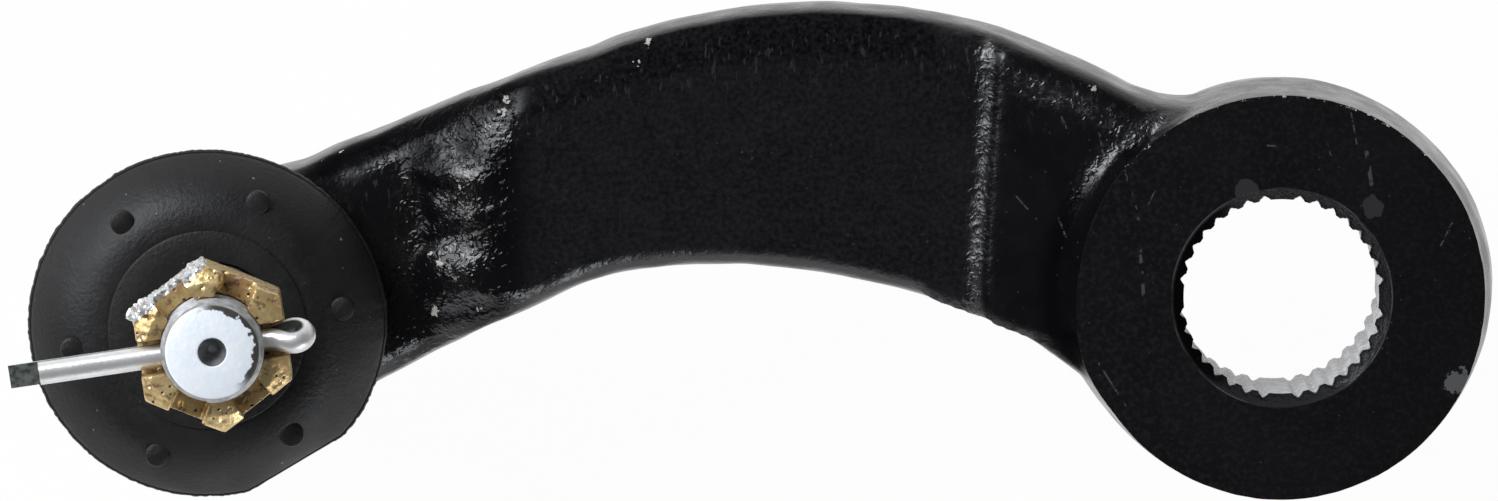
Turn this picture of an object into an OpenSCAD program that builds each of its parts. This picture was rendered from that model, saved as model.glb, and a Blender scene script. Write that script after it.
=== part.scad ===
// Pitman arm: a forged steering arm with a splined taper bore at one end and a ball stud at the other.
// The origin is on the bore axis, in the gearbox-side face of the hub. +Z points to the nut side of the
// hub, which is also the way the ball stud points. The ball stud lies on the -X axis.

/* [Arm forging] */
// Distance from the bore axis to the ball stud axis
centre_distance = 165.5; // [150:0.5:178]
// Height of the main flat of the arm on the stud side
arm_top = 26.5; // [24:0.5:27.5]
// Thickness of the arm between its two flats
arm_thickness = 18; // [14:0.5:20]
// Height of the raised neck next to the hub boss
neck_top = 29; // [28:0.5:30]
// Distance from the bore axis to the step between the neck and the main flat
neck_step = 42.5; // [40:0.5:50]
// Length of the slope of that step along the arm
neck_step_run = 2.4; // [1.5:0.1:5]
// Distance from the stud axis to the head of the ramp that drops to the socket
ramp_head = 45; // [42:0.5:52]
// Distance from the stud axis to the foot of that ramp
ramp_foot = 32; // [29:0.5:36]
// Drop of the ramp from the main flat to the pad round the socket
ramp_drop = 7.5; // [4:0.5:10]
// Radius of the convex upper edge, seen along the bore axis
upper_edge_r = 97.2; // [85:0.2:110]
// Distance along the arm from the stud axis to the crown of the upper edge
upper_crown_run = 93.2; // [86:0.2:98]
// Distance of that crown from the line between the two axes
upper_crown_rise = 46.2; // [43:0.1:50]
// Distance along the arm from the stud axis to the crown of the lower edge
lower_crown_run = 75.7; // [70:0.1:80]
// Distance of that crown from the line between the two axes
lower_crown_rise = 6.1; // [3:0.1:10]
// Angle round the hub from the -X axis to where the lower edge runs into it
lower_meet_angle = 22.8; // [18:0.2:26]
// Angle of the straight lower flank that runs to the socket
lower_flank_angle = 24.3; // [21:0.1:28]
// Softness of the bend between the lower flank and the lower edge
lower_bend = 1.1; // [0.5:0.1:4]
// Distance from the stud axis to the straight upper flank that runs onto the socket
upper_flank_r = 17.7; // [16:0.1:19.5]
// Distance from the stud axis to the straight lower flank that runs onto the socket
lower_flank_r = 20; // [17.5:0.1:21]
// Draft angle of the forged sides, from the parting plane to each flat
draft = 5; // [2:0.5:8]
// Radius of the forged edges of the arm
edge_r = 3.4; // [2:0.1:5]
// Radius of the blend between the upper edge and the hub
upper_root_r = 22; // [14:1:30]
// Radius of the blend between the lower edge and the hub
lower_root_r = 24; // [15:1:30]
// Radius of the fillet at the foot of the hub boss
boss_fillet_r = 3; // [1.5:0.1:3.8]

/* [Hub] */
// Height of the hub between its two machined faces
hub_h = 33; // [32:0.5:36]
// Radius of the machined face on the nut side
hub_face_r = 31.5; // [30:0.1:32]
// Radius of the machined face on the gearbox side
hub_back_r = 31; // [29:0.1:32]
// Widest radius of the hub, at the parting plane of the forging
hub_r = 32.8; // [32.2:0.1:34]

/* [Splined bore] */
// Radius to the spline crests at the nut-side face
crest_r = 15.1; // [14:0.05:16]
// Depth of the spline grooves below the crests
groove_depth = 0.78; // [0.6:0.02:1]
// Half the width of a groove at the crests
groove_half_w = 0.98; // [0.8:0.02:1.1]
// Number of spline positions round the bore
spline_positions = 36; // [36, 32, 40]
// Number of wide blind teeth, spread evenly
blind_teeth = 4; // [4, 2]
// Length of bore over which the diameter grows by one unit
bore_taper = 16; // [14:1:24]
// Chamfer at both mouths of the bore
bore_chamfer = 2; // [1:0.1:2.5]
// Turn of the first blind tooth from the +X axis
spline_turn = -1.6; // [-10:0.1:10]

/* [Ball socket] */
// Height of the ball centre over the gearbox-side face of the hub
ball_z = 9; // [6:0.5:12]
// Radius of the ball
ball_r = 13; // [12.5:0.1:13.5]
// Radius of the socket at its widest
socket_r = 22.5; // [22:0.1:24]
// Height of the socket top over the ball centre
socket_rise = 11; // [10.8:0.1:11.6]
// Radius of the cavity that holds the bearings
cavity_r = 16.5; // [16.2:0.1:17]
// Height over the ball centre of the shoulder that the upper bearing seats on
shoulder_rise = 7.5; // [7:0.1:8]
// Radius of the throat at the shoulder
throat_r = 11.4; // [11.2:0.1:11.8]
// Radius of the throat at the socket top
throat_mouth_r = 12.8; // [12.4:0.1:13.4]
// Thickness of the lower bearing under the ball
lower_bearing_wall = 2.6; // [2:0.1:3.2]
// Height of the preload spring between the lower bearing and the cover
spring_h = 3; // [2.5:0.1:4]
// Thickness of the spring disc
spring_t = 1.2; // [0.8:0.1:1.5]
// Radius of the hole in the spring disc
spring_bore_r = 6.7; // [5:0.1:9]
// Thickness of the cover plate
cover_t = 2.6; // [2:0.1:3.5]
// Width of the ledge and groove that hold the cover plate
cover_ledge = 1.8; // [1.4:0.1:2]
// Height of the swaged lip below the cover plate
lip_h = 1.4; // [1:0.1:2]
// Width of the swaged lip over the cover plate
lip_w = 1.2; // [0.8:0.1:1.5]

/* [Ball stud] */
// Radius of the neck above the ball
neck_r = 7.4; // [6.8:0.1:7.6]
// Largest radius of the stud, where the dust boot grips it
shank_r = 9.3; // [9:0.1:9.8]
// Height over the ball centre where the shank starts to flare out
flare_rise = 16; // [15:0.5:17]
// Height over the ball centre where the taper starts
taper_rise = 26; // [25:0.5:28]
// Length of the taper that seats in the steering link
taper_len = 16; // [14:0.5:20]
// Length of taper over which its diameter shrinks by one unit
stud_taper = 8; // [7:0.5:12]
// Major radius of the thread
thread_r = 7.94; // [7.4:0.02:8.1]
// Length of the threaded end
thread_len = 20; // [19:0.5:26]
// Chamfer at the tip of the thread
tip_chamfer = 1.3; // [0.4:0.1:1.6]
// Distance from the stud tip down to the cotter hole
hole_drop = 6.5; // [6:0.1:8]
// Radius of the centre drilling in the tip
centre_drill_r = 2.2; // [1.5:0.1:3]
// Turn of the cotter hole and the nut slots from the +X axis
stud_turn = 7; // [-30:1:30]

/* [Slotted nut] */
// Width of the nut across its flats
nut_flats = 22.8; // [22.2:0.1:24.2]
// Height of the nut
nut_h = 13.9; // [13:0.1:15]
// Width of the slots
slot_w = 5.4; // [4.6:0.1:5.8]
// Distance from the nut top down to the middle of the cotter pin
pin_drop = 2.8; // [2.6:0.1:3.2]
// Angle of the chamfer on the nut corners
nut_chamfer_angle = 30; // [15:1:35]
// Distance from the middle of a flat to the round end faces of the nut
nut_face_inset = 1.2; // [0.3:0.1:1.5]

/* [Cotter pin] */
// Diameter of the closed pin
pin_d = 3.7; // [3.2:0.1:4]
// Reach of the short leg from the stud axis
short_leg = 26.8; // [20:0.1:32]
// Extra reach of the long leg beyond the short one
leg_step = 5; // [2:0.1:7]
// Reach of the eye from the stud axis, on the other side
eye_reach = 16; // [15:0.1:18]
// Outer radius of the eye
eye_r = 3.3; // [3:0.1:3.8]
// Twist of the eye out of the upright plane
eye_twist = 14; // [-20:1:20]

/* [Dust boot] */
// Radius of the rim of the boot
rim_r = 27.5; // [26:0.1:29]
// Height of the upright edge of the rim
rim_h = 2.2; // [1.5:0.1:3]
// Height of the rim over the foot of the boot
rim_rise = 3.2; // [2:0.1:4]
// Radius of the foot that rests on the socket
foot_r = 20; // [18:0.1:21]
// Radius of the step between the dome and the inner disc
disc_r = 15.3; // [14:0.1:17]
// Height of the inner disc over the foot of the boot
disc_rise = 13.4; // [12:0.1:13.8]
// Height of the step at the edge of the inner disc
disc_step = 0.5; // [0.2:0.1:0.8]
// Wall thickness of the boot
boot_wall = 2.2; // [1.6:0.1:2.6]
// Radius of the moulded nubs
nub_r = 1.9; // [1.2:0.1:2.4]
// Radius of the circle of nubs
nub_circle_r = 21.1; // [19:0.1:22.5]
// Height of the nubs over the dome
nub_h = 0.9; // [0.4:0.1:1.5]
// Number of nubs
nub_count = 6; // [4, 6, 8]

/* [Grease fitting] */
// Radius of the fitting's thread
fitting_thread_r = 3.1; // [2.8:0.05:3.4]
// Width of the fitting's hexagon across its flats
fitting_flats = 7.9; // [7.2:0.1:9.5]
// Height of the hexagon
fitting_hex_h = 3.2; // [2.5:0.1:4]
// Length of the nipple below the hexagon
fitting_nipple = 5.6; // [5:0.1:7]
// Radius of the ball at the end of the nipple
fitting_ball_r = 2.9; // [2.4:0.1:3.2]
// Radius of the waist behind that ball
fitting_waist_r = 2.2; // [1.8:0.1:2.3]
// Width of the boss on the cover plate round the hexagon
fitting_boss_w = 1.8; // [1:0.1:3]

/* [Fits] */
// Running clearance between the ball and its bearings
ball_clear = 0.08; // [0.04:0.01:0.1]
// Clearance of seated pieces in their bores and of threads
seat_clear = 0.06; // [0.03:0.01:0.1]
// Clearance of the loose cotter pin in its hole
hole_clear = 0.25; // [0.15:0.05:0.3]
// Clearance of the boot from the socket and the stud
boot_clear = 0.3; // [0.2:0.05:0.4]

/* [Hidden] */
$fn = 72;

// Overlap that lets cuts run clear of a face and joined shapes sink into each other
sink = 0.5;
// Depth that the root blends sink into the hub, so that they meet it at an angle
root_sink = 1.1;

// Arm plan
stud_x = -centre_distance;
upper_centre = [stud_x + upper_crown_run, upper_crown_rise - upper_edge_r];
root_hub_r = hub_r - root_sink;
lower_crown = [stud_x + lower_crown_run, lower_crown_rise];
lower_meet = -root_hub_r * [cos(lower_meet_angle), sin(lower_meet_angle)];
lower_edge_r = pow(norm(lower_crown - lower_meet), 2) / (2 * (lower_crown.y - lower_meet.y));
lower_centre = lower_crown - [0, lower_edge_r];
// Where the straight lower flank ends and the lower edge starts
flank_lean = [cos(lower_flank_angle), sin(lower_flank_angle)];
flank_foot = flank_lean * (lower_centre - [stud_x, 0]);
flank_gap = lower_flank_r + cross(flank_lean, lower_centre - [stud_x, 0]);
flank_half = sqrt(max(0, pow(lower_edge_r, 2) - pow(flank_gap, 2)));
lower_bend_x = stud_x + flank_lean.x * (flank_foot + flank_half) + lower_flank_r * flank_lean.y;
upper_reach = norm([upper_centre.x - stud_x, upper_centre.y]);
upper_flank_angle = atan2(upper_centre.y, upper_centre.x - stud_x)
    + asin((upper_edge_r - upper_flank_r) / upper_reach);
upper_tangent_x = upper_centre.x - upper_edge_r * sin(upper_flank_angle);

// Centre of a circle that lies at set distances from two other centres, on the side of the third argument
function meet(a, ra, b, rb, side) =
    let (d = norm(b - a), along = (ra * ra - rb * rb + d * d) / (2 * d), u = (b - a) / d)
    a + along * u + side * sqrt(ra * ra - along * along) * [-u.y, u.x];

upper_root = meet([0, 0], root_hub_r + upper_root_r, upper_centre, upper_edge_r + upper_root_r, -1);
lower_root = meet([0, 0], root_hub_r + lower_root_r, lower_centre, lower_edge_r - lower_root_r, -1);
// Where the root blends leave the edges of the arm and where they run into the hub
upper_root_x = lerp_x(upper_root, upper_centre, upper_root_r);
lower_root_x = lerp_x(lower_root, lower_centre, -lower_root_r);
upper_hub_x = lerp_x(upper_root, [0, 0], upper_root_r);
lower_hub_x = lerp_x(lower_root, [0, 0], lower_root_r);
function lerp_x(from, to, distance) = from.x + distance * (to.x - from.x) / norm(to - from);

function arc_y(centre, r, x) = centre.y + sqrt(r * r - pow(x - centre.x, 2));
function under_arc_y(centre, r, x) = centre.y - sqrt(r * r - pow(x - centre.x, 2));
function soft_min(a, b, softness) = (a + b - sqrt(pow(a - b, 2) + softness * softness)) / 2;
function flank_y(x, angle, offset) = (x - stud_x) * tan(angle) + offset / cos(angle);

// The two edges of the arm at the parting plane
function upper_y(x) =
    x < upper_tangent_x ? flank_y(x, upper_flank_angle, upper_flank_r)
    : x < upper_root_x ? arc_y(upper_centre, upper_edge_r, x)
    : under_arc_y(upper_root, upper_root_r, min(x, upper_hub_x));
function lower_y(x) =
    x < lower_root_x ? soft_min(flank_y(x, lower_flank_angle, -lower_flank_r),
                                arc_y(lower_centre, lower_edge_r, max(x, lower_bend_x)), lower_bend)
    : arc_y(lower_root, lower_root_r, min(x, lower_hub_x));

// Heights of the two flats along the arm
pad_top = arm_top - ramp_drop;
top_profile = [[stud_x, pad_top], [stud_x + ramp_foot, pad_top], [stud_x + ramp_head, arm_top],
               [-neck_step - neck_step_run, arm_top], [-neck_step, neck_top], [0, neck_top]];
neck_bottom = arm_top - arm_thickness - (neck_top - arm_top);
bottom_profile = [[stud_x, pad_top - arm_thickness], [stud_x + ramp_foot, pad_top - arm_thickness],
                  [stud_x + ramp_head, arm_top - arm_thickness],
                  [-neck_step - neck_step_run, arm_top - arm_thickness],
                  [-neck_step, neck_bottom], [0, neck_bottom]];

// Stations of the loft along the arm, closer where the shape turns
arm_end_x = upper_hub_x;
function spread(from, to, count) = [for (i = [0 : count - 1]) from + (to - from) * i / count];
stations = concat(spread(stud_x, stud_x + ramp_foot, 4), spread(stud_x + ramp_foot, stud_x + ramp_head, 4),
                  spread(stud_x + ramp_head, -neck_step - neck_step_run, 18),
                  spread(-neck_step - neck_step_run, -neck_step, 2),
                  spread(-neck_step, lower_hub_x, 8), spread(lower_hub_x, arm_end_x, 8), [arm_end_x]);

// One rounded, drafted section of the arm in the plane across its length
corner_steps = 4;
function corner(edge_y, mid_z, flat_z, side, up) =
    let (cz = flat_z - up * edge_r,
         cy = edge_y - side * (abs(cz - mid_z) * tan(draft) + edge_r / cos(draft)))
    [for (i = [0 : corner_steps])
        let (a = draft + (90 - draft) * i / corner_steps)
        [cy + side * edge_r * cos(a), cz + up * edge_r * sin(a)]];
function reversed(list) = [for (i = [len(list) - 1 : -1 : 0]) list[i]];
function section(x) =
    let (yu = upper_y(x), yl = lower_y(x), zt = lookup(x, top_profile), zb = lookup(x, bottom_profile),
         zm = (zt + zb) / 2)
    [for (p = concat([[yu, zm]], corner(yu, zm, zt, 1, 1), reversed(corner(yl, zm, zt, -1, 1)),
                     [[yl, zm]], corner(yl, zm, zb, -1, -1), reversed(corner(yu, zm, zb, 1, -1))))
        [x, p.x, p.y]];

// Hub and bore
hub_mid = hub_h / 2;
bore_angle = atan(1 / (2 * bore_taper));
crest_back_r = crest_r + hub_h / (2 * bore_taper);

// Socket heights, from the ball centre down to the swaged lip
socket_top = ball_z + socket_rise;
shoulder_z = ball_z + shoulder_rise;
seat_r = ball_r + ball_clear;
seat_bottom = ball_z - seat_r - lower_bearing_wall;
cover_top = seat_bottom - spring_h;
cover_bottom = cover_top - cover_t;
socket_bottom = cover_bottom - lip_h;
groove_r = cavity_r + cover_ledge;
boss_z = cover_bottom - lip_h;

// Stud heights
shank_z = ball_z + flare_rise + (shank_r - neck_r) * 2;
taper_z = ball_z + taper_rise;
taper_end_r = shank_r - taper_len / (2 * stud_taper);
thread_z = taper_z + taper_len;
tip_z = thread_z + thread_len;
pin_z = tip_z - hole_drop;
nut_top = pin_z + pin_drop;
slot_depth = pin_drop + eye_r + hole_clear;

// Boot heights
boot_z = socket_top + boot_clear;
rim_z = boot_z + rim_rise;
disc_z = boot_z + disc_rise;
dome_steps = 9;

// Colours
paint_black = [0.05, 0.05, 0.055];
rubber_black = [0.13, 0.13, 0.13];
zinc_gold = [0.72, 0.58, 0.33];
zinc_silver = [0.78, 0.80, 0.83];
bright_steel = [0.70, 0.71, 0.72];
bearing_grey = [0.42, 0.41, 0.39];

module at_stud() {
    translate([stud_x, 0, 0]) children();
}

// Forged beam of the arm, lofted through its sections
module arm_beam() {
    rings = [for (x = stations) section(x)];
    count = len(rings);
    size = len(rings[0]);
    sides = [for (i = [0 : count - 2], j = [0 : size - 1])
        let (k = (j + 1) % size)
        each [[i * size + j, (i + 1) * size + k, i * size + k],
              [i * size + j, (i + 1) * size + j, (i + 1) * size + k]]];
    first = [for (j = [0 : size - 1]) j];
    last = [for (j = [size - 1 : -1 : 0]) (count - 1) * size + j];
    polyhedron(points = [for (r = rings) each r], faces = concat(sides, [first, last]));
}

module hub_blank() {
    rotate_extrude()
        polygon([[0, 0], [hub_back_r, 0], [hub_r, hub_mid], [hub_face_r, hub_h], [0, hub_h]]);
}

// Concave fillet between the boss and the flat of the neck
module boss_fillet() {
    reach = hub_r + boss_fillet_r;
    start = 180 - atan2(upper_y(-hub_r) - 2 * edge_r, hub_r);
    stop = 180 - atan2(lower_y(-reach) + edge_r, reach);
    rotate([0, 0, start]) rotate_extrude(angle = stop - start) difference() {
        translate([hub_face_r - sink, neck_top - sink])
            square([reach - hub_face_r + sink, min(boss_fillet_r, hub_h - neck_top) + sink]);
        translate([reach, neck_top + boss_fillet_r]) circle(r = boss_fillet_r);
    }
}

module socket_blank() {
    mid = (socket_top + socket_bottom) / 2;
    lean = (socket_top - mid) * tan(draft);
    at_stud() rotate_extrude()
        polygon([[0, socket_bottom], [socket_r - lean - lip_h, socket_bottom],
                 [socket_r - lean, socket_bottom + lip_h], [socket_r, mid],
                 [socket_r - lean, socket_top - lip_h], [socket_r - lean - lip_h, socket_top],
                 [0, socket_top]]);
}

// Tapered bore with serrations all round, left out where the wide blind teeth are
module splined_bore() {
    blind_step = spline_positions / blind_teeth;
    translate([0, 0, -sink])
        cylinder(h = hub_h + 2 * sink, r1 = crest_back_r + sink / (2 * bore_taper),
                 r2 = crest_r - sink / (2 * bore_taper));
    for (i = [0 : spline_positions - 1])
        if (i % blind_step != 0)
            rotate([0, 0, spline_turn + i * 360 / spline_positions])
                translate([crest_back_r, 0, 0]) rotate([0, -bore_angle, 0])
                    translate([0, 0, -sink]) linear_extrude(hub_h + 2 * sink)
                        polygon([[-groove_depth, -2 * groove_half_w], [groove_depth, 0],
                                 [-groove_depth, 2 * groove_half_w]]);
    translate([0, 0, hub_h - bore_chamfer])
        cylinder(h = bore_chamfer + sink, r1 = crest_r, r2 = crest_r + bore_chamfer + sink);
    translate([0, 0, -sink])
        cylinder(h = bore_chamfer + sink, r1 = crest_back_r + bore_chamfer + sink, r2 = crest_back_r);
}

// Cavity for the bearings, the groove for the cover plate and the throat that the stud leans in
module socket_cavity() {
    at_stud() rotate_extrude()
        polygon([[0, socket_bottom - sink], [groove_r - lip_w, socket_bottom - sink],
                 [groove_r - lip_w, cover_bottom], [groove_r, cover_bottom], [groove_r, cover_top],
                 [cavity_r, cover_top], [cavity_r, shoulder_z], [throat_r, shoulder_z],
                 [throat_mouth_r, socket_top], [throat_mouth_r, socket_top + sink], [0, socket_top + sink]]);
}

module pitman_arm() {
    color(paint_black) difference() {
        union() {
            arm_beam();
            hub_blank();
            boss_fillet();
            socket_blank();
        }
        splined_bore();
        socket_cavity();
    }
}

module ball_stud() {
    color(zinc_silver) at_stud() difference() {
        union() {
            translate([0, 0, ball_z]) sphere(r = ball_r);
            rotate_extrude()
                polygon([[0, ball_z], [neck_r, ball_z], [neck_r, ball_z + flare_rise], [shank_r, shank_z],
                         [shank_r, taper_z], [taper_end_r, thread_z], [thread_r, thread_z],
                         [thread_r, tip_z - tip_chamfer], [thread_r - tip_chamfer, tip_z], [0, tip_z]]);
        }
        translate([0, 0, tip_z - centre_drill_r]) cylinder(h = centre_drill_r + sink, r = centre_drill_r);
        translate([0, 0, tip_z - 2 * centre_drill_r])
            cylinder(h = centre_drill_r, r1 = 0, r2 = centre_drill_r);
        rotate([0, 0, stud_turn]) translate([0, 0, pin_z]) rotate([0, 90, 0])
            cylinder(h = 2 * shank_r, r = pin_d / 2 + hole_clear, center = true);
    }
}

// Bearing ring pressed against the shoulder above the ball
module upper_bearing() {
    color(bearing_grey) at_stud() difference() {
        translate([0, 0, ball_z + sink])
            cylinder(h = shoulder_rise - sink - seat_clear, r = cavity_r - seat_clear);
        translate([0, 0, ball_z]) sphere(r = seat_r);
    }
}

// Bearing cup that the spring presses up against the ball
module lower_bearing() {
    color(bearing_grey) at_stud() difference() {
        translate([0, 0, seat_bottom])
            cylinder(h = ball_z - sink - seat_bottom, r = cavity_r - seat_clear);
        translate([0, 0, ball_z]) sphere(r = seat_r);
        translate([0, 0, seat_bottom - sink])
            cylinder(h = lower_bearing_wall + ball_r, r = fitting_thread_r);
    }
}

// Conical disc spring between the lower bearing and the cover
module preload_spring() {
    outer = cavity_r - 2 * sink;
    low = cover_top + seat_clear;
    high = seat_bottom - seat_clear;
    color(bright_steel) at_stud() rotate_extrude()
        polygon([[outer, low], [outer, low + spring_t], [spring_bore_r, high],
                 [spring_bore_r, high - spring_t]]);
}

// Pressed cover with a raised boss for the fitting
module cover_plate() {
    hole_r = fitting_thread_r + seat_clear;
    edge = groove_r - seat_clear;
    high = cover_top - seat_clear;
    low = cover_bottom + seat_clear;
    boss_r = fitting_flats / 2 / cos(30) + fitting_boss_w;
    color(paint_black) at_stud() rotate_extrude()
        polygon([[hole_r, high], [edge, high], [edge, low], [boss_r + lip_h, low], [boss_r, boss_z],
                 [hole_r, boss_z]]);
}

module grease_fitting() {
    hex_z = boss_z - seat_clear - fitting_hex_h;
    waist_z = hex_z - (fitting_thread_r - fitting_waist_r);
    nipple_z = hex_z - fitting_nipple;
    ball_mid = nipple_z + fitting_ball_r / 2;
    shoulder = fitting_ball_r - fitting_waist_r;
    color(zinc_silver) at_stud() {
        translate([0, 0, hex_z]) cylinder(h = fitting_hex_h, d = fitting_flats / cos(30), $fn = 6);
        translate([0, 0, hex_z + sink])
            cylinder(h = cover_top - hex_z, r = fitting_thread_r);
        rotate_extrude()
            polygon([[0, hex_z + sink], [fitting_thread_r, hex_z + sink], [fitting_thread_r, hex_z],
                     [fitting_waist_r, waist_z], [fitting_waist_r, ball_mid + 2 * shoulder],
                     [fitting_ball_r, ball_mid + shoulder], [fitting_ball_r, ball_mid],
                     [fitting_ball_r / 2, nipple_z], [0, nipple_z]]);
    }
}

// Moulded rubber boot: a hollow dome whose foot rests on the socket and whose disc grips the shank
function dome(outer, inner, low, high) =
    [for (i = [0 : dome_steps])
        let (a = 90 * i / dome_steps)
        [inner + (outer - inner) * cos(a), low + (high - low) * sin(a)]];
module dust_boot() {
    grip_r = shank_r + boot_clear;
    dome_low = rim_z + rim_h;
    dome_high = disc_z - disc_step;
    wall_r = rim_r - boot_wall;
    roof_z = dome_high - boot_wall;
    outside = concat([[foot_r, boot_z], [rim_r - sink, rim_z], [rim_r, rim_z + sink]],
                     dome(rim_r, disc_r, dome_low, dome_high), [[disc_r, disc_z], [grip_r, disc_z]]);
    inside = concat([[grip_r, roof_z]], reversed(dome(wall_r, disc_r, rim_z + sink, roof_z)),
                    [[foot_r - boot_wall, boot_z]]);
    nub_z = dome_low + (dome_high - dome_low) * sin(acos((nub_circle_r - disc_r) / (rim_r - disc_r)));
    color(rubber_black) at_stud() {
        rotate_extrude() polygon(concat(outside, inside));
        for (i = [0 : nub_count - 1])
            rotate([0, 0, stud_turn + i * 360 / nub_count])
                translate([nub_circle_r, 0, nub_z - boot_wall / 2])
                    cylinder(h = nub_h + boot_wall / 2, r = nub_r);
    }
}

// Slotted hexagon nut with chamfered corners
module slotted_nut() {
    corner_r = nut_flats / 2 / cos(30);
    face_r = nut_flats / 2 - nut_face_inset;
    fall = (corner_r - face_r) * tan(nut_chamfer_angle);
    bottom = nut_top - nut_h;
    color(zinc_gold) at_stud() rotate([0, 0, stud_turn]) difference() {
        intersection() {
            rotate([0, 0, 30]) translate([0, 0, bottom]) cylinder(h = nut_h, r = corner_r, $fn = 6);
            rotate_extrude()
                polygon([[0, bottom], [face_r, bottom], [corner_r, bottom + fall], [corner_r, nut_top - fall],
                         [face_r, nut_top], [0, nut_top]]);
        }
        translate([0, 0, bottom - sink]) cylinder(h = nut_h + 2 * sink, r = thread_r + seat_clear);
        for (a = [0, 60, 120])
            rotate([0, 0, a]) translate([-nut_flats, -slot_w / 2, nut_top - slot_depth])
                cube([2 * nut_flats, slot_w, slot_depth + sink]);
    }
}

// Split pin of half-round wire: an eye at one end, two legs of unequal length at the other
module cotter_pin() {
    wire = pin_d / 2;
    eye_x = eye_reach - eye_r;
    color(bright_steel) at_stud() translate([0, 0, pin_z]) rotate([eye_twist, 0, stud_turn]) {
        translate([-short_leg, 0, 0]) rotate([0, 90, 0])
            cylinder(h = short_leg + eye_x - eye_r + wire, r = wire);
        difference() {
            translate([-short_leg - leg_step, 0, 0]) rotate([0, 90, 0])
                cylinder(h = 2 * leg_step, r = wire);
            translate([-short_leg - leg_step - sink, -pin_d, 0])
                cube([leg_step + sink, 2 * pin_d, pin_d]);
        }
        translate([eye_x, 0, 0]) rotate([90, 0, 0]) rotate_extrude() intersection() {
            translate([eye_r - wire, 0]) circle(r = wire);
            translate([eye_r - wire, -wire]) square([wire, pin_d]);
        }
    }
}

pitman_arm();
ball_stud();
upper_bearing();
lower_bearing();
preload_spring();
cover_plate();
grease_fitting();
dust_boot();
slotted_nut();
cotter_pin();
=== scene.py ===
"""Looks of a forged pitman arm with its ball stud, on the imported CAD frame.

Shapes are worked out in millimetres round the frame's own places and scaled to metres at the end.
"""
import math
from functools import reduce

import bmesh
import bpy
import numpy as np
from mathutils import Matrix, Vector, noise


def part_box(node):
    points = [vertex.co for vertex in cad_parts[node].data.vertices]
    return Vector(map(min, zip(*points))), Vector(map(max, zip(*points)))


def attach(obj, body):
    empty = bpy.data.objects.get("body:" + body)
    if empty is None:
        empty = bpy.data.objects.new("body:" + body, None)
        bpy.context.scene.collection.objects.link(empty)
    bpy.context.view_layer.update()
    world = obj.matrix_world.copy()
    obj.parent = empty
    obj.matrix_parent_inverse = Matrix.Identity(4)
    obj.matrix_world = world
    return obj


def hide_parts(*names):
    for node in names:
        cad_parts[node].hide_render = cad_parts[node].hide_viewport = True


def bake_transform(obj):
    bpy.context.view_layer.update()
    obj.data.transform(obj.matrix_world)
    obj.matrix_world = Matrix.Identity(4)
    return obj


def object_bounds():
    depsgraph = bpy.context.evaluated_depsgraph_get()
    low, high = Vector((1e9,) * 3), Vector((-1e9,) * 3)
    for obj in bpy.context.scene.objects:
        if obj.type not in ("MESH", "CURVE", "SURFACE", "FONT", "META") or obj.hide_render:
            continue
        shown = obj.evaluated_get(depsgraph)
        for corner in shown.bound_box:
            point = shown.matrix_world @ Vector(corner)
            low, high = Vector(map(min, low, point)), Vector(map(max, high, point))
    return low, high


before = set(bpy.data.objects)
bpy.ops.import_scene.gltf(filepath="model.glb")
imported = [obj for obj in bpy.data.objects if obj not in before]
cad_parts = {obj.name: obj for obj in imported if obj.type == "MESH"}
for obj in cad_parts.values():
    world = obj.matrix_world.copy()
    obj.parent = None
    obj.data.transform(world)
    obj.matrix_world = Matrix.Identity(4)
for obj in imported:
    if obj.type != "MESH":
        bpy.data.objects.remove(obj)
cad_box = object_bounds()
MM = 0.001


# Places taken from the frame, in millimetres

def frame_box(node):
    """The lower and the upper corner of a CAD node's box."""
    return [np.array(corner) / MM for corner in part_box(node)]


arm_low, arm_high = frame_box("pitman_arm")
boot_low, boot_high = frame_box("dust_boot")
STUD_X = float((boot_low[0] + boot_high[0]) / 2)
HUB_TOP = float(arm_high[2])
ARM_BASE = float(arm_low[2])
TIP_Z = float(frame_box("ball_stud")[1][2])
NUT_BASE = float(frame_box("slotted_nut")[0][2])
PLATE_TOP = float(frame_box("cover_plate")[1][2])

# Sizes that both the shapes and the looks need
STUD_TURN = math.radians(7)
CREST_R, CHAMFER, FACE_R = 15.1, 2.0, 31.5
DRILL_R = 2.2


# Node helpers

def put(tree, socket, value):
    """Links a socket to another one, or writes a plain value straight into it."""
    if isinstance(value, bpy.types.NodeSocket):
        tree.links.new(value, socket)
    elif isinstance(value, tuple) and len(value) == 3 and socket.type == "RGBA":
        socket.default_value = (*value, 1)
    else:
        socket.default_value = value


def add_node(tree, kind, settings=None, **sockets):
    """A new node; its sockets go by name or as i0, i1 and so on, and a list makes several links."""
    node = tree.nodes.new(kind)
    for key, value in (settings or {}).items():
        setattr(node, key, value)
    for key, value in sockets.items():
        numbered = key[0] == "i" and key[1:].isdigit()
        socket = node.inputs[int(key[1:]) if numbered else key.replace("_", " ")]
        for item in value if isinstance(value, list) else [value]:
            put(tree, socket, item)
    return node


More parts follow.
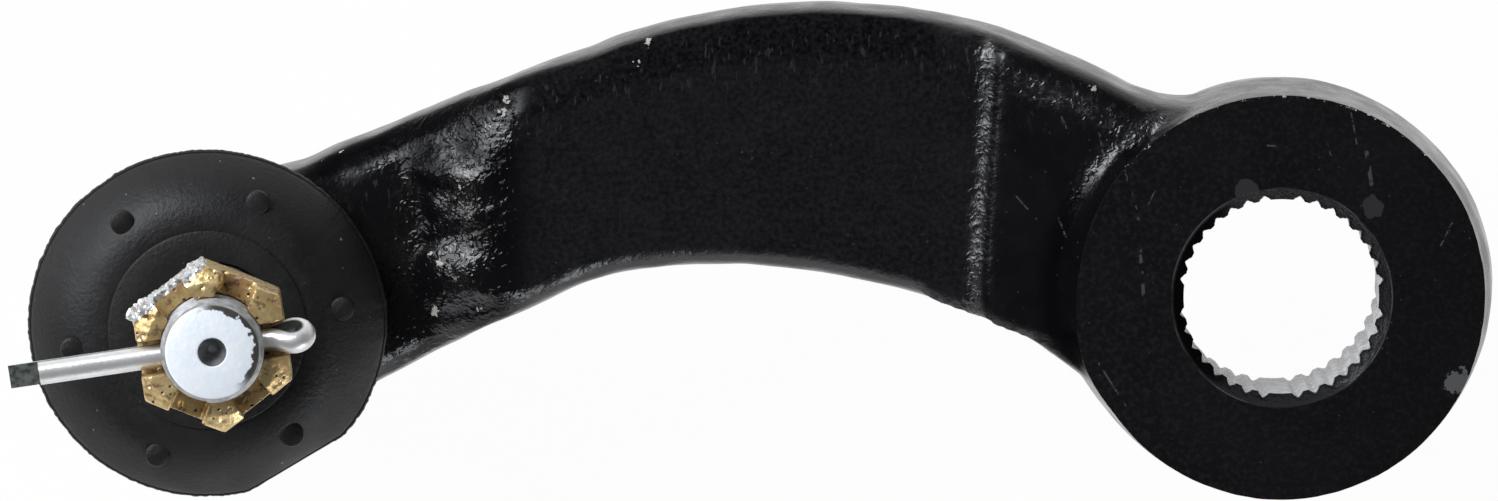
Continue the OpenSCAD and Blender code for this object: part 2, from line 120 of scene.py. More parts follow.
class Nodes:
    """A tree of shader nodes that grows by short calls and reads one kind of coordinate."""

    def __init__(self, tree, coordinate="Object"):
        self.tree = tree
        self.place = add_node(tree, "ShaderNodeTexCoord").outputs[coordinate]

    def add(self, kind, out=0, settings=None, **sockets):
        return add_node(self.tree, kind, settings, **sockets).outputs[out]

    def math(self, operation, a, b=0.0, clamp=False):
        settings = {"operation": operation, "use_clamp": clamp}
        return self.add("ShaderNodeMath", settings=settings, i0=a, i1=b)

    def plus(self, a, b):
        return self.math("ADD", a, b)

    def minus(self, a, b):
        return self.math("SUBTRACT", a, b)

    def product(self, *values):
        return reduce(lambda a, b: self.math("MULTIPLY", a, b), values)

    def either(self, *masks):
        return reduce(lambda a, b: self.math("MAXIMUM", a, b), masks)

    def vector(self, operation, a, b, out=0):
        return self.add("ShaderNodeVectorMath", out, {"operation": operation}, i0=a, i1=b)

    def step(self, value, low, high, to_low=0.0, to_high=1.0):
        """A smooth change from one level to another while a value goes from low to high."""
        return self.add("ShaderNodeMapRange", settings={"interpolation_type": "SMOOTHSTEP"},
                        i0=value, i1=low, i2=high, i3=to_low, i4=to_high)

    def axes(self):
        return add_node(self.tree, "ShaderNodeSeparateXYZ", i0=self.place).outputs


class Shader(Nodes):
    """A material on Object coordinates, built round its Principled BSDF."""

    def __init__(self, name):
        self.mat = bpy.data.materials.new(name)
        self.mat.use_nodes = True
        super().__init__(self.mat.node_tree)
        self.bsdf = self.tree.nodes["Principled BSDF"]

    def look(self, **sockets):
        for key, value in sockets.items():
            put(self.tree, self.bsdf.inputs[key.replace("_", " ")], value)
        return self.mat

    def noise(self, scale, detail=2.0, rough=0.5, place=None):
        return self.add("ShaderNodeTexNoise", Vector=place or self.place, Scale=scale, Detail=detail,
                        Roughness=rough)

    def ridges(self, scale, detail, rough, bend):
        return self.add("ShaderNodeTexNoise", settings={"noise_type": "RIDGED_MULTIFRACTAL"},
                        Vector=self.place, Scale=scale, Detail=detail, Roughness=rough, Distortion=bend)

    def patches(self, scale, low, high, detail=2.0, rough=0.5, place=None):
        """1 inside cloudy patches, where the noise is past high."""
        return self.step(self.noise(scale, detail, rough, place), low, high)

    def mix(self, share, a, b):
        return self.add("ShaderNodeMix", 2, {"data_type": "RGBA"}, i0=share, i6=a, i7=b)

    def blend(self, share, a, b):
        return self.add("ShaderNodeMix", 0, {"data_type": "FLOAT"}, i0=share, i2=a, i3=b)

    def bump(self, height, distance):
        return self.add("ShaderNodeBump", Height=height, Distance=distance)

    def attribute(self, name):
        return self.add("ShaderNodeAttribute", 2, {"attribute_name": name})

    def away(self, x=0.0, y=0.0):
        """Distance from an upright line through a place in the plan, given in millimetres."""
        ax = self.axes()
        dx, dy = self.minus(ax[0], x * MM), self.minus(ax[1], y * MM)
        return self.math("SQRT", self.plus(self.product(dx, dx), self.product(dy, dy)))

    def above(self, value, limit):
        """1 where a place or a distance is past a limit in millimetres."""
        return self.math("GREATER_THAN", value, limit * MM)

    def below(self, value, limit):
        """1 where a place or a distance is short of a limit in millimetres."""
        return self.math("LESS_THAN", value, limit * MM)


# Mesh helpers, all in millimetres

def new_object(name, mesh):
    obj = bpy.data.objects.new(name, mesh)
    bpy.context.scene.collection.objects.link(obj)
    return obj


def mesh_from(name, points, faces):
    mesh = bpy.data.meshes.new(name)
    mesh.from_pydata([tuple(map(float, p)) for p in points], [], faces)
    mesh.validate()
    return mesh


def lathe_faces(low, high, segments):
    """The faces between two rings of points; a ring of one point is a pole."""
    faces = []
    for k in range(segments):
        j = (k + 1) % segments
        if len(low) == 1:
            faces.append((low[0], high[j], high[k]))
        elif len(high) == 1:
            faces.append((low[k], low[j], high[0]))
        else:
            faces.append((low[k], low[j], high[j], high[k]))
    return faces


def lathe(name, profile, segments, centre=(0.0, 0.0), shape=None):
    """A closed mesh turned round an upright axis; profile points at radius 0 become poles."""
    points, rings = [], []
    for r, z in profile:
        if r < 1e-9:
            rings.append([len(points)])
            points.append((centre[0], centre[1], z))
            continue
        ring = []
        for k in range(segments):
            a = 2 * math.pi * k / segments
            rr, zz = shape(r, z, a) if shape else (r, z)
            ring.append(len(points))
            points.append((centre[0] + rr * math.cos(a), centre[1] + rr * math.sin(a), zz))
        rings.append(ring)
    pairs = list(zip(rings, rings[1:]))
    if len(rings[0]) > 1 and len(rings[-1]) > 1:
        pairs.append((rings[-1], rings[0]))
    faces = [face for low, high in pairs for face in lathe_faces(low, high, segments)]
    return mesh_from(name, points, faces)


def outward(mesh):
    """Merges doubles and points all faces outwards."""
    bm = bmesh.new()
    bm.from_mesh(mesh)
    bmesh.ops.remove_doubles(bm, verts=bm.verts, dist=1e-5)
    bmesh.ops.recalc_face_normals(bm, faces=bm.faces)
    bm.to_mesh(mesh)
    bm.free()
    return mesh


def plain_mesh(obj):
    """The object's mesh after its modifiers; the object itself is removed."""
    graph = bpy.context.evaluated_depsgraph_get()
    out = bpy.data.meshes.new_from_object(obj.evaluated_get(graph))
    bpy.data.objects.remove(obj)
    return out


def with_modifiers(mesh, *steps):
    """The mesh after a list of modifiers, each given as (type, settings)."""
    obj = new_object("work", mesh)
    for kind, settings in steps:
        mod = obj.modifiers.new(kind.lower(), kind)
        for key, value in settings.items():
            setattr(mod, key, value)
    return plain_mesh(obj)


def cut(mesh, *cutters):
    """The mesh less its cutters, taken away one after another."""
    tools = [new_object("cutter", c) for c in cutters]
    steps = [("BOOLEAN", {"operation": "DIFFERENCE", "solver": "MANIFOLD", "object": t}) for t in tools]
    out = with_modifiers(mesh, *steps)
    for t in tools:
        bpy.data.objects.remove(t)
    return out


def joined(*meshes):
    bm = bmesh.new()
    for m in meshes:
        bm.from_mesh(m)
    out = bpy.data.meshes.new("joined")
    bm.to_mesh(out)
    bm.free()
    return out


def smoothing(count):
    return "SMOOTH", {"factor": 0.5, "iterations": count}


def remeshed(mesh, voxel, smooth):
    return with_modifiers(mesh, ("REMESH", {"mode": "VOXEL", "voxel_size": voxel}), smoothing(smooth))


def points_of(mesh):
    co = np.empty(len(mesh.vertices) * 3, np.float32)
    mesh.vertices.foreach_get("co", co)
    return co.reshape(-1, 3)


def normals_of(mesh):
    n = np.empty(len(mesh.vertices) * 3, np.float32)
    mesh.vertex_normals.foreach_get("vector", n)
    return n.reshape(-1, 3)


def set_points(mesh, co):
    mesh.vertices.foreach_set("co", np.ascontiguousarray(co, np.float32).ravel())
    mesh.update()


def mark(mesh, name, values):
    """Stores a value per point, for a material to read."""
    layer = mesh.attributes.new(name, "FLOAT", "POINT")
    layer.data.foreach_set("value", values.astype(np.float32))


def field(co, size, seed):
    """Smooth seeded noise, about -1 to 1, with features of the given size."""
    shift = Vector((seed * 17.3, seed * -9.1, seed * 5.7))
    return np.array([noise.noise(Vector(p) / size + shift) for p in co.tolist()])


def rise(value, low, high):
    """Goes smoothly from 0 at low to 1 at high."""
    t = np.clip((value - low) / (high - low), 0, 1)
    return t * t * (3 - 2 * t)


def fall(value, low, high):
    return 1 - rise(value, low, high)


def span(value, start, end):
    """1 between two soft limits: rises across the first pair and falls across the second."""
    return rise(value, *start) * fall(value, *end)


def bell(away, reach):
    """1 at no distance, falling to little past the reach."""
    return np.exp(-(away / reach) ** 2)


def round_patch(co, centre, reach):
    """1 at a place in the plan, falling to little past the reach."""
    return np.exp(-((co[:, :2] - centre) ** 2).sum(1) / reach ** 2)


def shade(mesh, angle):
    mesh.polygons.foreach_set("use_smooth", [True] * len(mesh.polygons))
    mesh.set_sharp_from_angle(angle=math.radians(angle))
    return mesh


def piece(name, mesh, material, body, node):
    """A finished piece in metres that rides on a body and stands for a CAD node."""
    mesh.transform(Matrix.Scale(MM, 4))
    mesh.materials.clear()
    mesh.materials.append(material)
    mesh.update()
    obj = new_object(name, mesh)
    if body:
        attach(obj, body)
    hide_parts(node)
    return obj


def cad_mesh(node):
    """A merged copy of a CAD node's mesh, in millimetres."""
    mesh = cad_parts[node].data.copy()
    mesh.transform(Matrix.Scale(1 / MM, 4))
    return outward(mesh)


# Camera: long lens over the stud side, tilted to the upper edge of the arm

LENS, CLIP_END = 450.0, 100
CAMERA_YAW, CAMERA_TILT, CAMERA_ROLL = math.radians(-1.0), math.radians(6.3), math.radians(-1.3)
CAMERA_AIM = Vector((-82.2, 8.0, 20)) * MM
CAMERA_DISTANCE = 2.913


def set_camera():
    back = Vector((math.sin(CAMERA_YAW), math.sin(CAMERA_TILT) * math.cos(CAMERA_YAW),
                   math.cos(CAMERA_TILT) * math.cos(CAMERA_YAW)))
    up = (Vector((0, 1, 0)) - back.y * back).normalized()
    right = up.cross(back)
    roll = Matrix.Rotation(CAMERA_ROLL, 3, back)
    turn = Matrix((roll @ right, roll @ up, back)).transposed().to_4x4()
    camera = new_object("camera", bpy.data.cameras.new("camera"))
    camera.data.lens = LENS
    camera.data.clip_end = CLIP_END
    camera.matrix_world = Matrix.Translation(CAMERA_AIM + back * CAMERA_DISTANCE) @ turn
    bpy.context.scene.camera = camera


set_camera()
bpy.context.scene.view_settings.view_transform = "Standard"


# Stage: a white floor that keeps a light shadow, and soft lights low round the object, in metres

FLOOR_WHITE, FLOOR_MATT = 0.97, (0.85, 0.85, 0.85)
FLOOR_HALF = 1.6
FLOOR_Z = float(cad_box[0][2]) - 0.0004
LIGHT_TINT = (0.94, 0.96, 1.0)
LIGHT_AIM = (-0.08, 0.0, 0.02)
# Name, place, width and height, and energy of each light
LIGHTS = (("key", (-0.92, 0.52, 0.62), (1.00, 0.70), 10.5),
          ("top_left", (-0.72, 0.82, 0.85), (0.70, 0.50), 9.0),
          ("lower_right", (0.55, -1.05, 0.62), (0.90, 0.40), 6.0))


def floor_look():
    """White to the camera and to glossy surfaces, matt for the light and clear from below."""
    sh = Shader("floor_white")
    path = add_node(sh.tree, "ShaderNodeLightPath").outputs
    seen = sh.either(path["Is Camera Ray"], path["Is Glossy Ray"])
    white = sh.add("ShaderNodeEmission", Color=(1, 1, 1), Strength=1.0)
    matt = sh.add("ShaderNodeBsdfDiffuse", Color=FLOOR_MATT)
    top = sh.add("ShaderNodeMixShader", i0=sh.product(seen, FLOOR_WHITE), i1=matt, i2=white)
    behind = sh.add("ShaderNodeNewGeometry", out="Backfacing")
    clear = sh.add("ShaderNodeBsdfTransparent")
    both = sh.add("ShaderNodeMixShader", i0=behind, i1=top, i2=clear)
    sh.tree.nodes.remove(sh.bsdf)
    put(sh.tree, sh.tree.nodes["Material Output"].inputs["Surface"], both)
    return sh.mat


def white_floor():
    corners = ((-1, -1), (1, -1), (1, 1), (-1, 1))
    points = [(FLOOR_HALF * i, FLOOR_HALF * j, FLOOR_Z) for i, j in corners]
    floor = new_object("floor", mesh_from("floor", points, [(0, 1, 2, 3)]))
    floor.data.materials.append(floor_look())


def area_light(name, place, size, energy):
    light = bpy.data.lights.new(name, "AREA")
    light.color = LIGHT_TINT
    light.shape = "RECTANGLE"
    light.size, light.size_y = size
    light.energy = energy
    obj = new_object(name, light)
    obj.location = place
    obj.rotation_euler = (Vector(LIGHT_AIM) - Vector(place)).to_track_quat("-Z", "Y").to_euler()
    obj.visible_camera = False


white_floor()
for light_row in LIGHTS:
    area_light(*light_row)


# World: a light tent, dim overhead, brighter low at the picture's top and bottom, white to the camera

WORLD_DIM, WORLD_TENT, WORLD_NEAR = 0.06, 0.58, 2.6


def light_tent():
    world = bpy.data.worlds.new("studio")
    bpy.context.scene.world = world
    world.use_nodes = True
    sky = Nodes(world.node_tree, "Generated")
    _, towards_y, towards_z = sky.axes()
    low_down = sky.step(towards_z, 0.05, 0.55, 1.0, 0.0)
    walls = sky.step(sky.math("ABSOLUTE", towards_y), 0.25, 0.85, 0.6, 1.0)
    near = sky.step(towards_y, -0.7, -0.1, WORLD_NEAR, 1.0)
    tent = sky.product(low_down, walls, near)
    level = sky.plus(sky.product(tent, WORLD_TENT - WORLD_DIM), WORLD_DIM)
    seen = add_node(sky.tree, "ShaderNodeLightPath").outputs["Is Camera Ray"]
    background = sky.tree.nodes["Background"].inputs
    put(sky.tree, background["Color"], LIGHT_TINT)
    put(sky.tree, background["Strength"], sky.either(level, seen))


light_tent()


# Marks that several finishes share

def speckle(sh, scale, share, seed=0.0):
    """Sparse round flecks: 1 inside a fleck, 0 elsewhere."""
    moved = sh.vector("ADD", sh.place, (seed, seed * 0.7, seed * 0.3))
    cells = add_node(sh.tree, "ShaderNodeTexVoronoi", Vector=moved, Scale=scale).outputs
    pick = sh.add("ShaderNodeSeparateXYZ", i0=cells["Color"])
    near = sh.step(cells["Distance"], 0.10, 0.30, 1.0, 0.0)
    return sh.product(near, sh.math("LESS_THAN", pick, share))


def spot(sh, x, y, r, ragged):
    """1 inside a ragged round patch seen along the bore axis, sizes in millimetres."""
    wobble = sh.product(sh.minus(sh.noise(900), 0.5), 2 * ragged * r * MM)
    return sh.step(sh.plus(sh.away(x, y), wobble), 0.93 * r * MM, 1.07 * r * MM, 1.0, 0.0)


def scratch(sh, x0, y0, x1, y1, half):
    """1 along a fine line seen along the bore axis, sizes in millimetres."""
    start, run = (x0 * MM, y0 * MM, 0), ((x1 - x0) * MM, (y1 - y0) * MM, 0)
    flat = sh.vector("MULTIPLY", sh.place, (1, 1, 0))
    near = sh.vector("SUBTRACT", flat, start)
    along = sh.vector("DOT_PRODUCT", near, run, "Value")
    share = sh.math("DIVIDE", along, run[0] ** 2 + run[1] ** 2, clamp=True)
    foot = sh.add("ShaderNodeVectorMath", settings={"operation": "SCALE"}, i0=run, Scale=share)
    away = sh.vector("DISTANCE", near, foot, "Value")
    return sh.step(away, 0.5 * half * MM, half * MM, 1.0, 0.0)


# Black paint on the forging

PAINT_BLACK, PAINT_WORN = (0.0026, 0.0026, 0.0030), (0.0045, 0.0045, 0.0050)
# The first grey on this line is grain, and on the hub face also painted light towards the left
GRAIN_AND_PAINTED_LIGHT_GREY, DUST_GREY = (0.0115, 0.0115, 0.0125), (0.05, 0.05, 0.052)
# The second grey on this line is a painted sheen for the wrinkled band beside the upper outline
STREAK_GREY, BAND_SHEEN_GREY = (0.030, 0.030, 0.033), (0.034, 0.034, 0.038)
# The first grey on this line is a painted highlight round the edge of the bore's chamfer
RING_HIGHLIGHT_GREY, LINE_GREY = (0.10, 0.10, 0.11), (0.055, 0.055, 0.06)
DOT_GREY, STAR_GREY = (0.020, 0.020, 0.023), (0.085, 0.085, 0.09)
CHIP_METAL, TOOTH_METAL = (0.42, 0.40, 0.37), (0.60, 0.60, 0.61)
PAINT_IOR, DULL_IOR = 1.5, 1.12
PAINT_BUMP = 0.00035
TEETH_R, TEETH_DROP = 17.2, 2.3
RIM_WIDTH, RIM_DROP, RIM_FROM_Y = 0.25, 0.35, 21
FLATS_FROM_X, FLATS_TO_X = (-120, -113), (-50, -45)
# Place in the plan, radius and raggedness of the marks on the hub face
STAR = (27.0, -13.7, 1.9, 0.9)
DOTS = ((-5.1, 16.8, 1.9, 0.25), (14.4, 13.9, 1.7, 0.5))
# Fine lines on the hub face: both ends in the plan and half the width
SCRATCHES = ((-22.1, 12.9, -21.4, 0.4, 0.34), (-24.0, 20.4, -22.3, 14.5, 0.22),
             (13.6, 22.3, 14.2, 17.4, 0.40), (11.3, 28.5, 12.4, 21.5, 0.16),
             (-1.8, 23.8, 3.4, 23.4, 0.18), (-18.2, 19.2, -20.4, 15.2, 0.16),
             (24.8, 7.6, 26.6, 11.0, 0.18), (0.6, 20.2, 2.0, 17.6, 0.2),
             (7.0, 25.4, 8.0, 22.0, 0.16), (-28.6, -9.5, -24.6, -16.2, 0.18))
# Fine lines on the flat of the neck
GRAZES = ((-33.4, 28.6, -32.5, 26.2, 0.2), (-27.6, 25.9, -27.1, 22.4, 0.2),
          (-25.2, 27.6, -24.9, 25.0, 0.22), (-34.2, 12.8, -33.2, 10.0, 0.2),
          (-40.7, 16.4, -39.0, 14.4, 0.16))


def face_lines(sh, face, z):
    """Broken fine lines on the hub face and on the flat of the neck."""
    on_face, on_neck = (sh.either(*(scratch(sh, *row) for row in rows)) for rows in (SCRATCHES, GRAZES))
    on_face = sh.product(on_face, face, sh.patches(750, 0.48, 0.56))
    on_neck = sh.product(on_neck, sh.patches(1400, 0.42, 0.56), sh.below(z, HUB_TOP - 2))
    return sh.either(on_face, on_neck)


def chamfer_highlight(sh, face, bore):
    """A painted highlight ring, broken into patches, where the bore's chamfer meets the hub face."""
    away = sh.math("ABSOLUTE", sh.minus(bore, (CREST_R + CHAMFER) * MM))
    return sh.product(sh.step(away, 0.08 * MM, 0.20 * MM, 1, 0), face, sh.patches(150, 0.35, 0.6))


def paint_chips(sh, bore, y, z):
    """Flakes off the edges of the forging and off the far rim of the hub face."""
    flake = sh.plus(sh.noise(1300, 3, 0.6), sh.product(sh.attribute("chip"), 0.55))
    rim = sh.product(sh.above(bore, FACE_R - RIM_WIDTH), sh.above(y, RIM_FROM_Y),
                     sh.above(z, HUB_TOP - RIM_DROP))
    return sh.either(sh.step(flake, 0.86, 0.90), sh.product(rim, sh.patches(1500, 0.60, 0.66)))


def grain_and_painted_light(sh, face, x):
    """Fine grey grain on the flats of the arm and on the machined hub face; on the face it is stronger
    towards the left, painted light there.
    """
    flats = sh.product(sh.step(x, *(v * MM for v in FLATS_FROM_X)),
                       sh.step(x, *(v * MM for v in FLATS_TO_X), 1, 0), sh.patches(1250, 0.30, 0.72, 3, 0.6))
    # Painted light: on the hub face the grain's share goes from 0.45 at the right to 0.9 at the left
    grain = sh.product(face, sh.step(x, -30 * MM, 30 * MM, 0.9, 0.45), sh.patches(1250, 0.42, 0.72, 3, 0.6))
    return sh.either(flats, grain)


def paint_height(sh, face, rough, shiny, chips):
    """Orange peel everywhere but on the hub face, wrinkles where the forging is rough, and sunken chips."""
    peel = sh.plus(sh.noise(330, 3, 0.6), sh.product(sh.noise(1500), 0.25))
    peel = sh.product(peel, sh.minus(1.0, sh.product(face, 0.85)))
    wide = sh.product(sh.ridges(420.0, 3.0, 0.55, 0.8), 0.62)
    narrow = sh.product(sh.ridges(1150.0, 2.0, 0.5, 0.6), sh.step(shiny, 0.0, 1.0, 0.43, 0.55))
    wrinkles = sh.product(sh.plus(wide, narrow), rough, 1.4)
    return sh.minus(sh.plus(sh.product(peel, 0.45), wrinkles), sh.product(chips, 0.4))


def paint_look():
    """Black paint on a rough forging, with machined faces, chips and bare spline teeth."""
    sh = Shader("black_paint")
    x, y, z = sh.axes()
    bore = sh.away()
    face = sh.above(z, HUB_TOP - 0.05)
    forging = sh.minus(1.0, face)
    rough, dull, shiny = (sh.product(sh.attribute(name), forging) for name in ("rough", "dull", "crinkle"))
    teeth = sh.product(sh.below(bore, TEETH_R), sh.below(z, HUB_TOP - TEETH_DROP))
    dirt = sh.patches(620, 0.50, 0.62, 4, 0.65)
    bare = sh.product(teeth, sh.minus(1.0, sh.product(dirt, 0.75)))
    chips = paint_chips(sh, bore, y, z)
    star = sh.product(face, spot(sh, *STAR))
    dots = sh.product(face, sh.either(*(spot(sh, *row) for row in DOTS)))
    dust = sh.product(speckle(sh, 1300, 0.05), sh.patches(130, 0.35, 0.75))
    long = sh.vector("MULTIPLY", sh.place, (1, 0.28, 1))
    streaks = sh.product(sh.patches(1500, 0.60, 0.70, place=long), sh.attribute("streak"))
    # Painted sheen: grey patches on the wrinkled band beside the upper outline stand in for its glints
    haze = sh.product(sh.attribute("haze"), sh.patches(1100, 0.50, 0.66, 3, 0.6))
    tone = sh.mix(sh.patches(55, 0.35, 0.7, 3), PAINT_BLACK, PAINT_WORN)
    for mask, colour in ((grain_and_painted_light(sh, face, x), GRAIN_AND_PAINTED_LIGHT_GREY), (dust, DUST_GREY), (streaks, STREAK_GREY),
                         (haze, BAND_SHEEN_GREY), (sh.product(chamfer_highlight(sh, face, bore), 0.6), RING_HIGHLIGHT_GREY),
                         (face_lines(sh, face, z), LINE_GREY), (dots, DOT_GREY), (star, STAR_GREY),
                         (chips, CHIP_METAL), (bare, TOOTH_METAL)):
        tone = sh.mix(mask, tone, colour)
    gloss = sh.step(sh.noise(240, 3), 0.3, 0.7, 0.20, 0.32)
    for mask, level in ((rough, 0.16), (shiny, 0.33), (face, 0.34),
                        (sh.either(chips, bare, dots, star), 0.55)):
        gloss = sh.blend(mask, gloss, level)
    sheen = sh.minus(sh.step(shiny, 0.0, 1.0, 0.5, 0.72), sh.product(face, 0.18))
    height = paint_height(sh, face, rough, shiny, chips)
    return sh.look(Base_Color=tone, Roughness=gloss, Metallic=sh.product(bare, 0.5),
                   IOR=sh.step(dull, 0.0, 1.0, PAINT_IOR, DULL_IOR),
                   Specular_IOR_Level=sh.minus(sheen, sh.product(dull, 0.47)),
                   Normal=sh.bump(height, PAINT_BUMP))


# Rubber of the boot

RUBBER_DARK, RUBBER_PALE = (0.0040, 0.0040, 0.0043), (0.0065, 0.0065, 0.0068)
RUBBER_FILM, RUBBER_DUST = (0.015, 0.0145, 0.014), (0.40, 0.40, 0.39)
RUBBER_BUMP = 0.00011


def rubber_look():
    """Matt black rubber with a thin film and a little pale dust."""
    sh = Shader("boot_rubber")
    cloud = sh.noise(90, 4, 0.6)
    film = sh.product(sh.patches(950, 0.44, 0.70, 5, 0.7), sh.patches(70, 0.38, 0.66, 3))
    dust = sh.either(speckle(sh, 1500, 0.012), speckle(sh, 900, 0.006, 3.1))
    tone = sh.mix(sh.step(cloud, 0.35, 0.7), RUBBER_DARK, RUBBER_PALE)
    tone = sh.mix(film, tone, RUBBER_FILM)
    tone = sh.mix(sh.product(dust, 0.40), tone, RUBBER_DUST)
    return sh.look(Base_Color=tone, Roughness=sh.step(cloud, 0.3, 0.7, 0.46, 0.60),
                   Specular_IOR_Level=0.36, Normal=sh.bump(sh.noise(1500, 3, 0.6), RUBBER_BUMP))


# Plated and bare metals

PIT_BROWN = (0.02, 0.015, 0.01)
NUT_PINK, NUT_DIRT = (0.60, 0.33, 0.24), (0.13, 0.085, 0.045)
SCRAPED_METAL, SCRAPED_BROWN = (0.62, 0.63, 0.65), (0.36, 0.31, 0.24)
# The second colour on this line is painted shade inside the centre drilling of the tip
KNOCKED_STEEL, DRILL_HOLE_SHADE = (0.05, 0.045, 0.04), (0.05, 0.05, 0.05)
SHANK_PALE, SHANK_DARK = (0.44, 0.44, 0.45), (0.29, 0.29, 0.29)
STUD_METAL, SHANK_METAL = 0.06, 0.6
# The two inner greys are painted shade for the pin's flat inner side, where little metal is left to reflect
INNER_SHADE_PALE, INNER_SHADE_DARK = (0.13, 0.145, 0.13), (0.045, 0.045, 0.045)
PIN_METAL, INNER_METAL = 0.66, 0.1


def plated_look(name, tone, tint, metal, gloss, pits=0.0, pit_size=420.0, cloud_size=600.0, grain=0.00012):
    """Plated metal with a cloudy colour and dark pits; returns the shader and its colour."""
    sh = Shader(name)
    cloud = sh.noise(cloud_size, 3, 0.6)
    holes = speckle(sh, pit_size, pits)
    colour = sh.mix(sh.step(cloud, 0.3, 0.7), tone, tint)
    colour = sh.mix(holes, colour, PIT_BROWN)
    height = sh.minus(sh.noise(1100, 3), sh.product(holes, 0.6))
    sh.look(Base_Color=colour, Metallic=metal, Roughness=sh.step(cloud, 0.3, 0.7, gloss, gloss + 0.15),
            Normal=sh.bump(height, grain))
    return sh, colour


def nut_look():
    """Yellow zinc with pits, scraped to bare silver where the side is torn."""
    sh, colour = plated_look("yellow_zinc", (0.80, 0.61, 0.30), (0.52, 0.35, 0.15), metal=0.55, gloss=0.26,
                             pits=0.5, pit_size=800.0, cloud_size=380.0)
    colour = sh.mix(sh.product(sh.patches(260, 0.56, 0.70), 0.45), colour, NUT_PINK)
    colour = sh.mix(sh.product(sh.patches(520, 0.54, 0.66, 3, 0.65), 0.75), colour, NUT_DIRT)
    torn = sh.plus(sh.attribute("torn"), sh.product(sh.noise(900), 0.5))
    scraped = sh.mix(sh.patches(1100, 0.50, 0.62, 3, 0.6), SCRAPED_METAL, SCRAPED_BROWN)
    return sh.look(Base_Color=sh.mix(sh.step(torn, 0.55, 0.75), colour, scraped))


def stud_look():
    """Pale zinc; the edge of the tip is knocked back to dark steel on one side, and the centre drilling is
    painted dark as shade.
    """
    sh, colour = plated_look("zinc_plate", (0.93, 0.97, 1.0), (0.84, 0.91, 0.98), metal=STUD_METAL,
                             gloss=0.38, pits=0.05, pit_size=520.0, cloud_size=420.0)
    x, y, z = sh.axes()
    away = sh.away(STUD_X)
    ragged = sh.plus(away, sh.product(sh.noise(650, 3, 0.6), 3.0 * MM))
    edge = sh.step(ragged, 7.7 * MM, 8.0 * MM)
    side = sh.step(sh.plus(sh.minus(x, STUD_X * MM), sh.product(y, 0.5)), 0.0, 4.0 * MM)
    top = sh.above(z, TIP_Z - 0.6)
    drilled = sh.below(away, DRILL_R - 0.02)
    shank = sh.step(z, (TIP_Z - 0.45) * MM, (TIP_Z - 0.25) * MM, 1.0, 0.0)
    dark = sh.mix(sh.patches(700, 0.40, 0.65, 3), SHANK_PALE, SHANK_DARK)
    colour = sh.mix(sh.product(edge, side, top), colour, KNOCKED_STEEL)
    # Painted shade: the centre drilling is coloured near black
    colour = sh.mix(sh.product(drilled, top), colour, DRILL_HOLE_SHADE)
    colour = sh.mix(shank, colour, dark)
    return sh.look(Base_Color=colour, Metallic=sh.blend(shank, STUD_METAL, SHANK_METAL))


def pin_look():
    """Bright steel wire whose flat inner side is dark, a mottled painted shade."""
    sh, colour = plated_look("bright_steel", (0.84, 0.84, 0.83), (0.68, 0.68, 0.67), metal=PIN_METAL,
                             gloss=0.28, pits=0.02, pit_size=500.0, cloud_size=200.0, grain=0.00004)
    inner = sh.attribute("inner")
    # Painted shade: the flat inner side is coloured a mottled dark grey
    inner_shade = sh.mix(sh.patches(900, 0.4, 0.65, 3, 0.6), INNER_SHADE_PALE, INNER_SHADE_DARK)
    return sh.look(Base_Color=sh.mix(inner, colour, inner_shade), Metallic=sh.blend(inner, PIN_METAL, INNER_METAL))


def bearing_look():
    return plated_look("bearing_metal", (0.30, 0.29, 0.27), (0.24, 0.23, 0.22), metal=0.9, gloss=0.45)[0].mat


def fitting_look():
    return plated_look("fitting_zinc", (0.62, 0.64, 0.67), (0.50, 0.52, 0.55), metal=0.8, gloss=0.32,
                       pits=0.04)[0].mat


BLACK_PAINT = paint_look()
BOOT_RUBBER = rubber_look()
YELLOW_ZINC = nut_look()
PALE_ZINC = stud_look()
BRIGHT_STEEL = pin_look()
BEARING_METAL = bearing_look()
FITTING_ZINC = fitting_look()

# Pieces that keep their CAD shape
for node, material in (("upper_bearing", BEARING_METAL), ("lower_bearing", BEARING_METAL),
                       ("preload_spring", BRIGHT_STEEL), ("grease_fitting", FITTING_ZINC),
                       ("cover_plate", BLACK_PAINT)):
    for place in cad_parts[node].material_slots:
        place.material = material


# Forged arm: the CAD shape as a rough forging, then the machined faces, bore and socket cut into it

FORGE_VOXEL, FORGE_SMOOTH = 0.8, 6
SLACK = 1.2
BACK_R, MID_R, HUB_SIDES = 31.0, 32.8, 144
PLUG_R, PLUG_INSET, PLUG_SIDES = 18.6, 0.2, 72
SLAB_HALF, SLAB_H = 60, 20
SPLINES, BLIND_STEP, SPLINE_SIDES = 36, 9, 16
SPLINE_TURN = math.radians(-1.6)
GROOVE, GROOVE_HALF, BORE_TAPER = 0.78, 0.98, 16.0
GROOVE_SLOPE, GROOVE_FLOOR = 1.12, 0.94
BORE_LEVELS = (8, 14, 20, 26)
SOCKET_TOP, SOCKET_SIDES = float(boot_low[2]) - 0.3, 96
SWAGE_R, SWAGE_H, LEDGE_R, CAVITY_R = 17.1, 1.4, 18.3, 16.5
THROAT_R, THROAT_TOP_R, THROAT_H = 11.4, 12.8, 3.5
SEAT_R, SEAT_H = 22.5, 2


def tooth_rise(angle):
    """How far a serration is cut behind the crests at an angle round the bore, 0 to 1."""
    pitch = 2 * math.pi / SPLINES
    k = round((angle - SPLINE_TURN) / pitch)
    if k % BLIND_STEP == 0:
        return 0.0
    away = abs(angle - SPLINE_TURN - k * pitch) * (CREST_R + 1) / GROOVE_HALF
    return float(np.clip(GROOVE_SLOPE * (1 - away), 0, GROOVE_FLOOR))


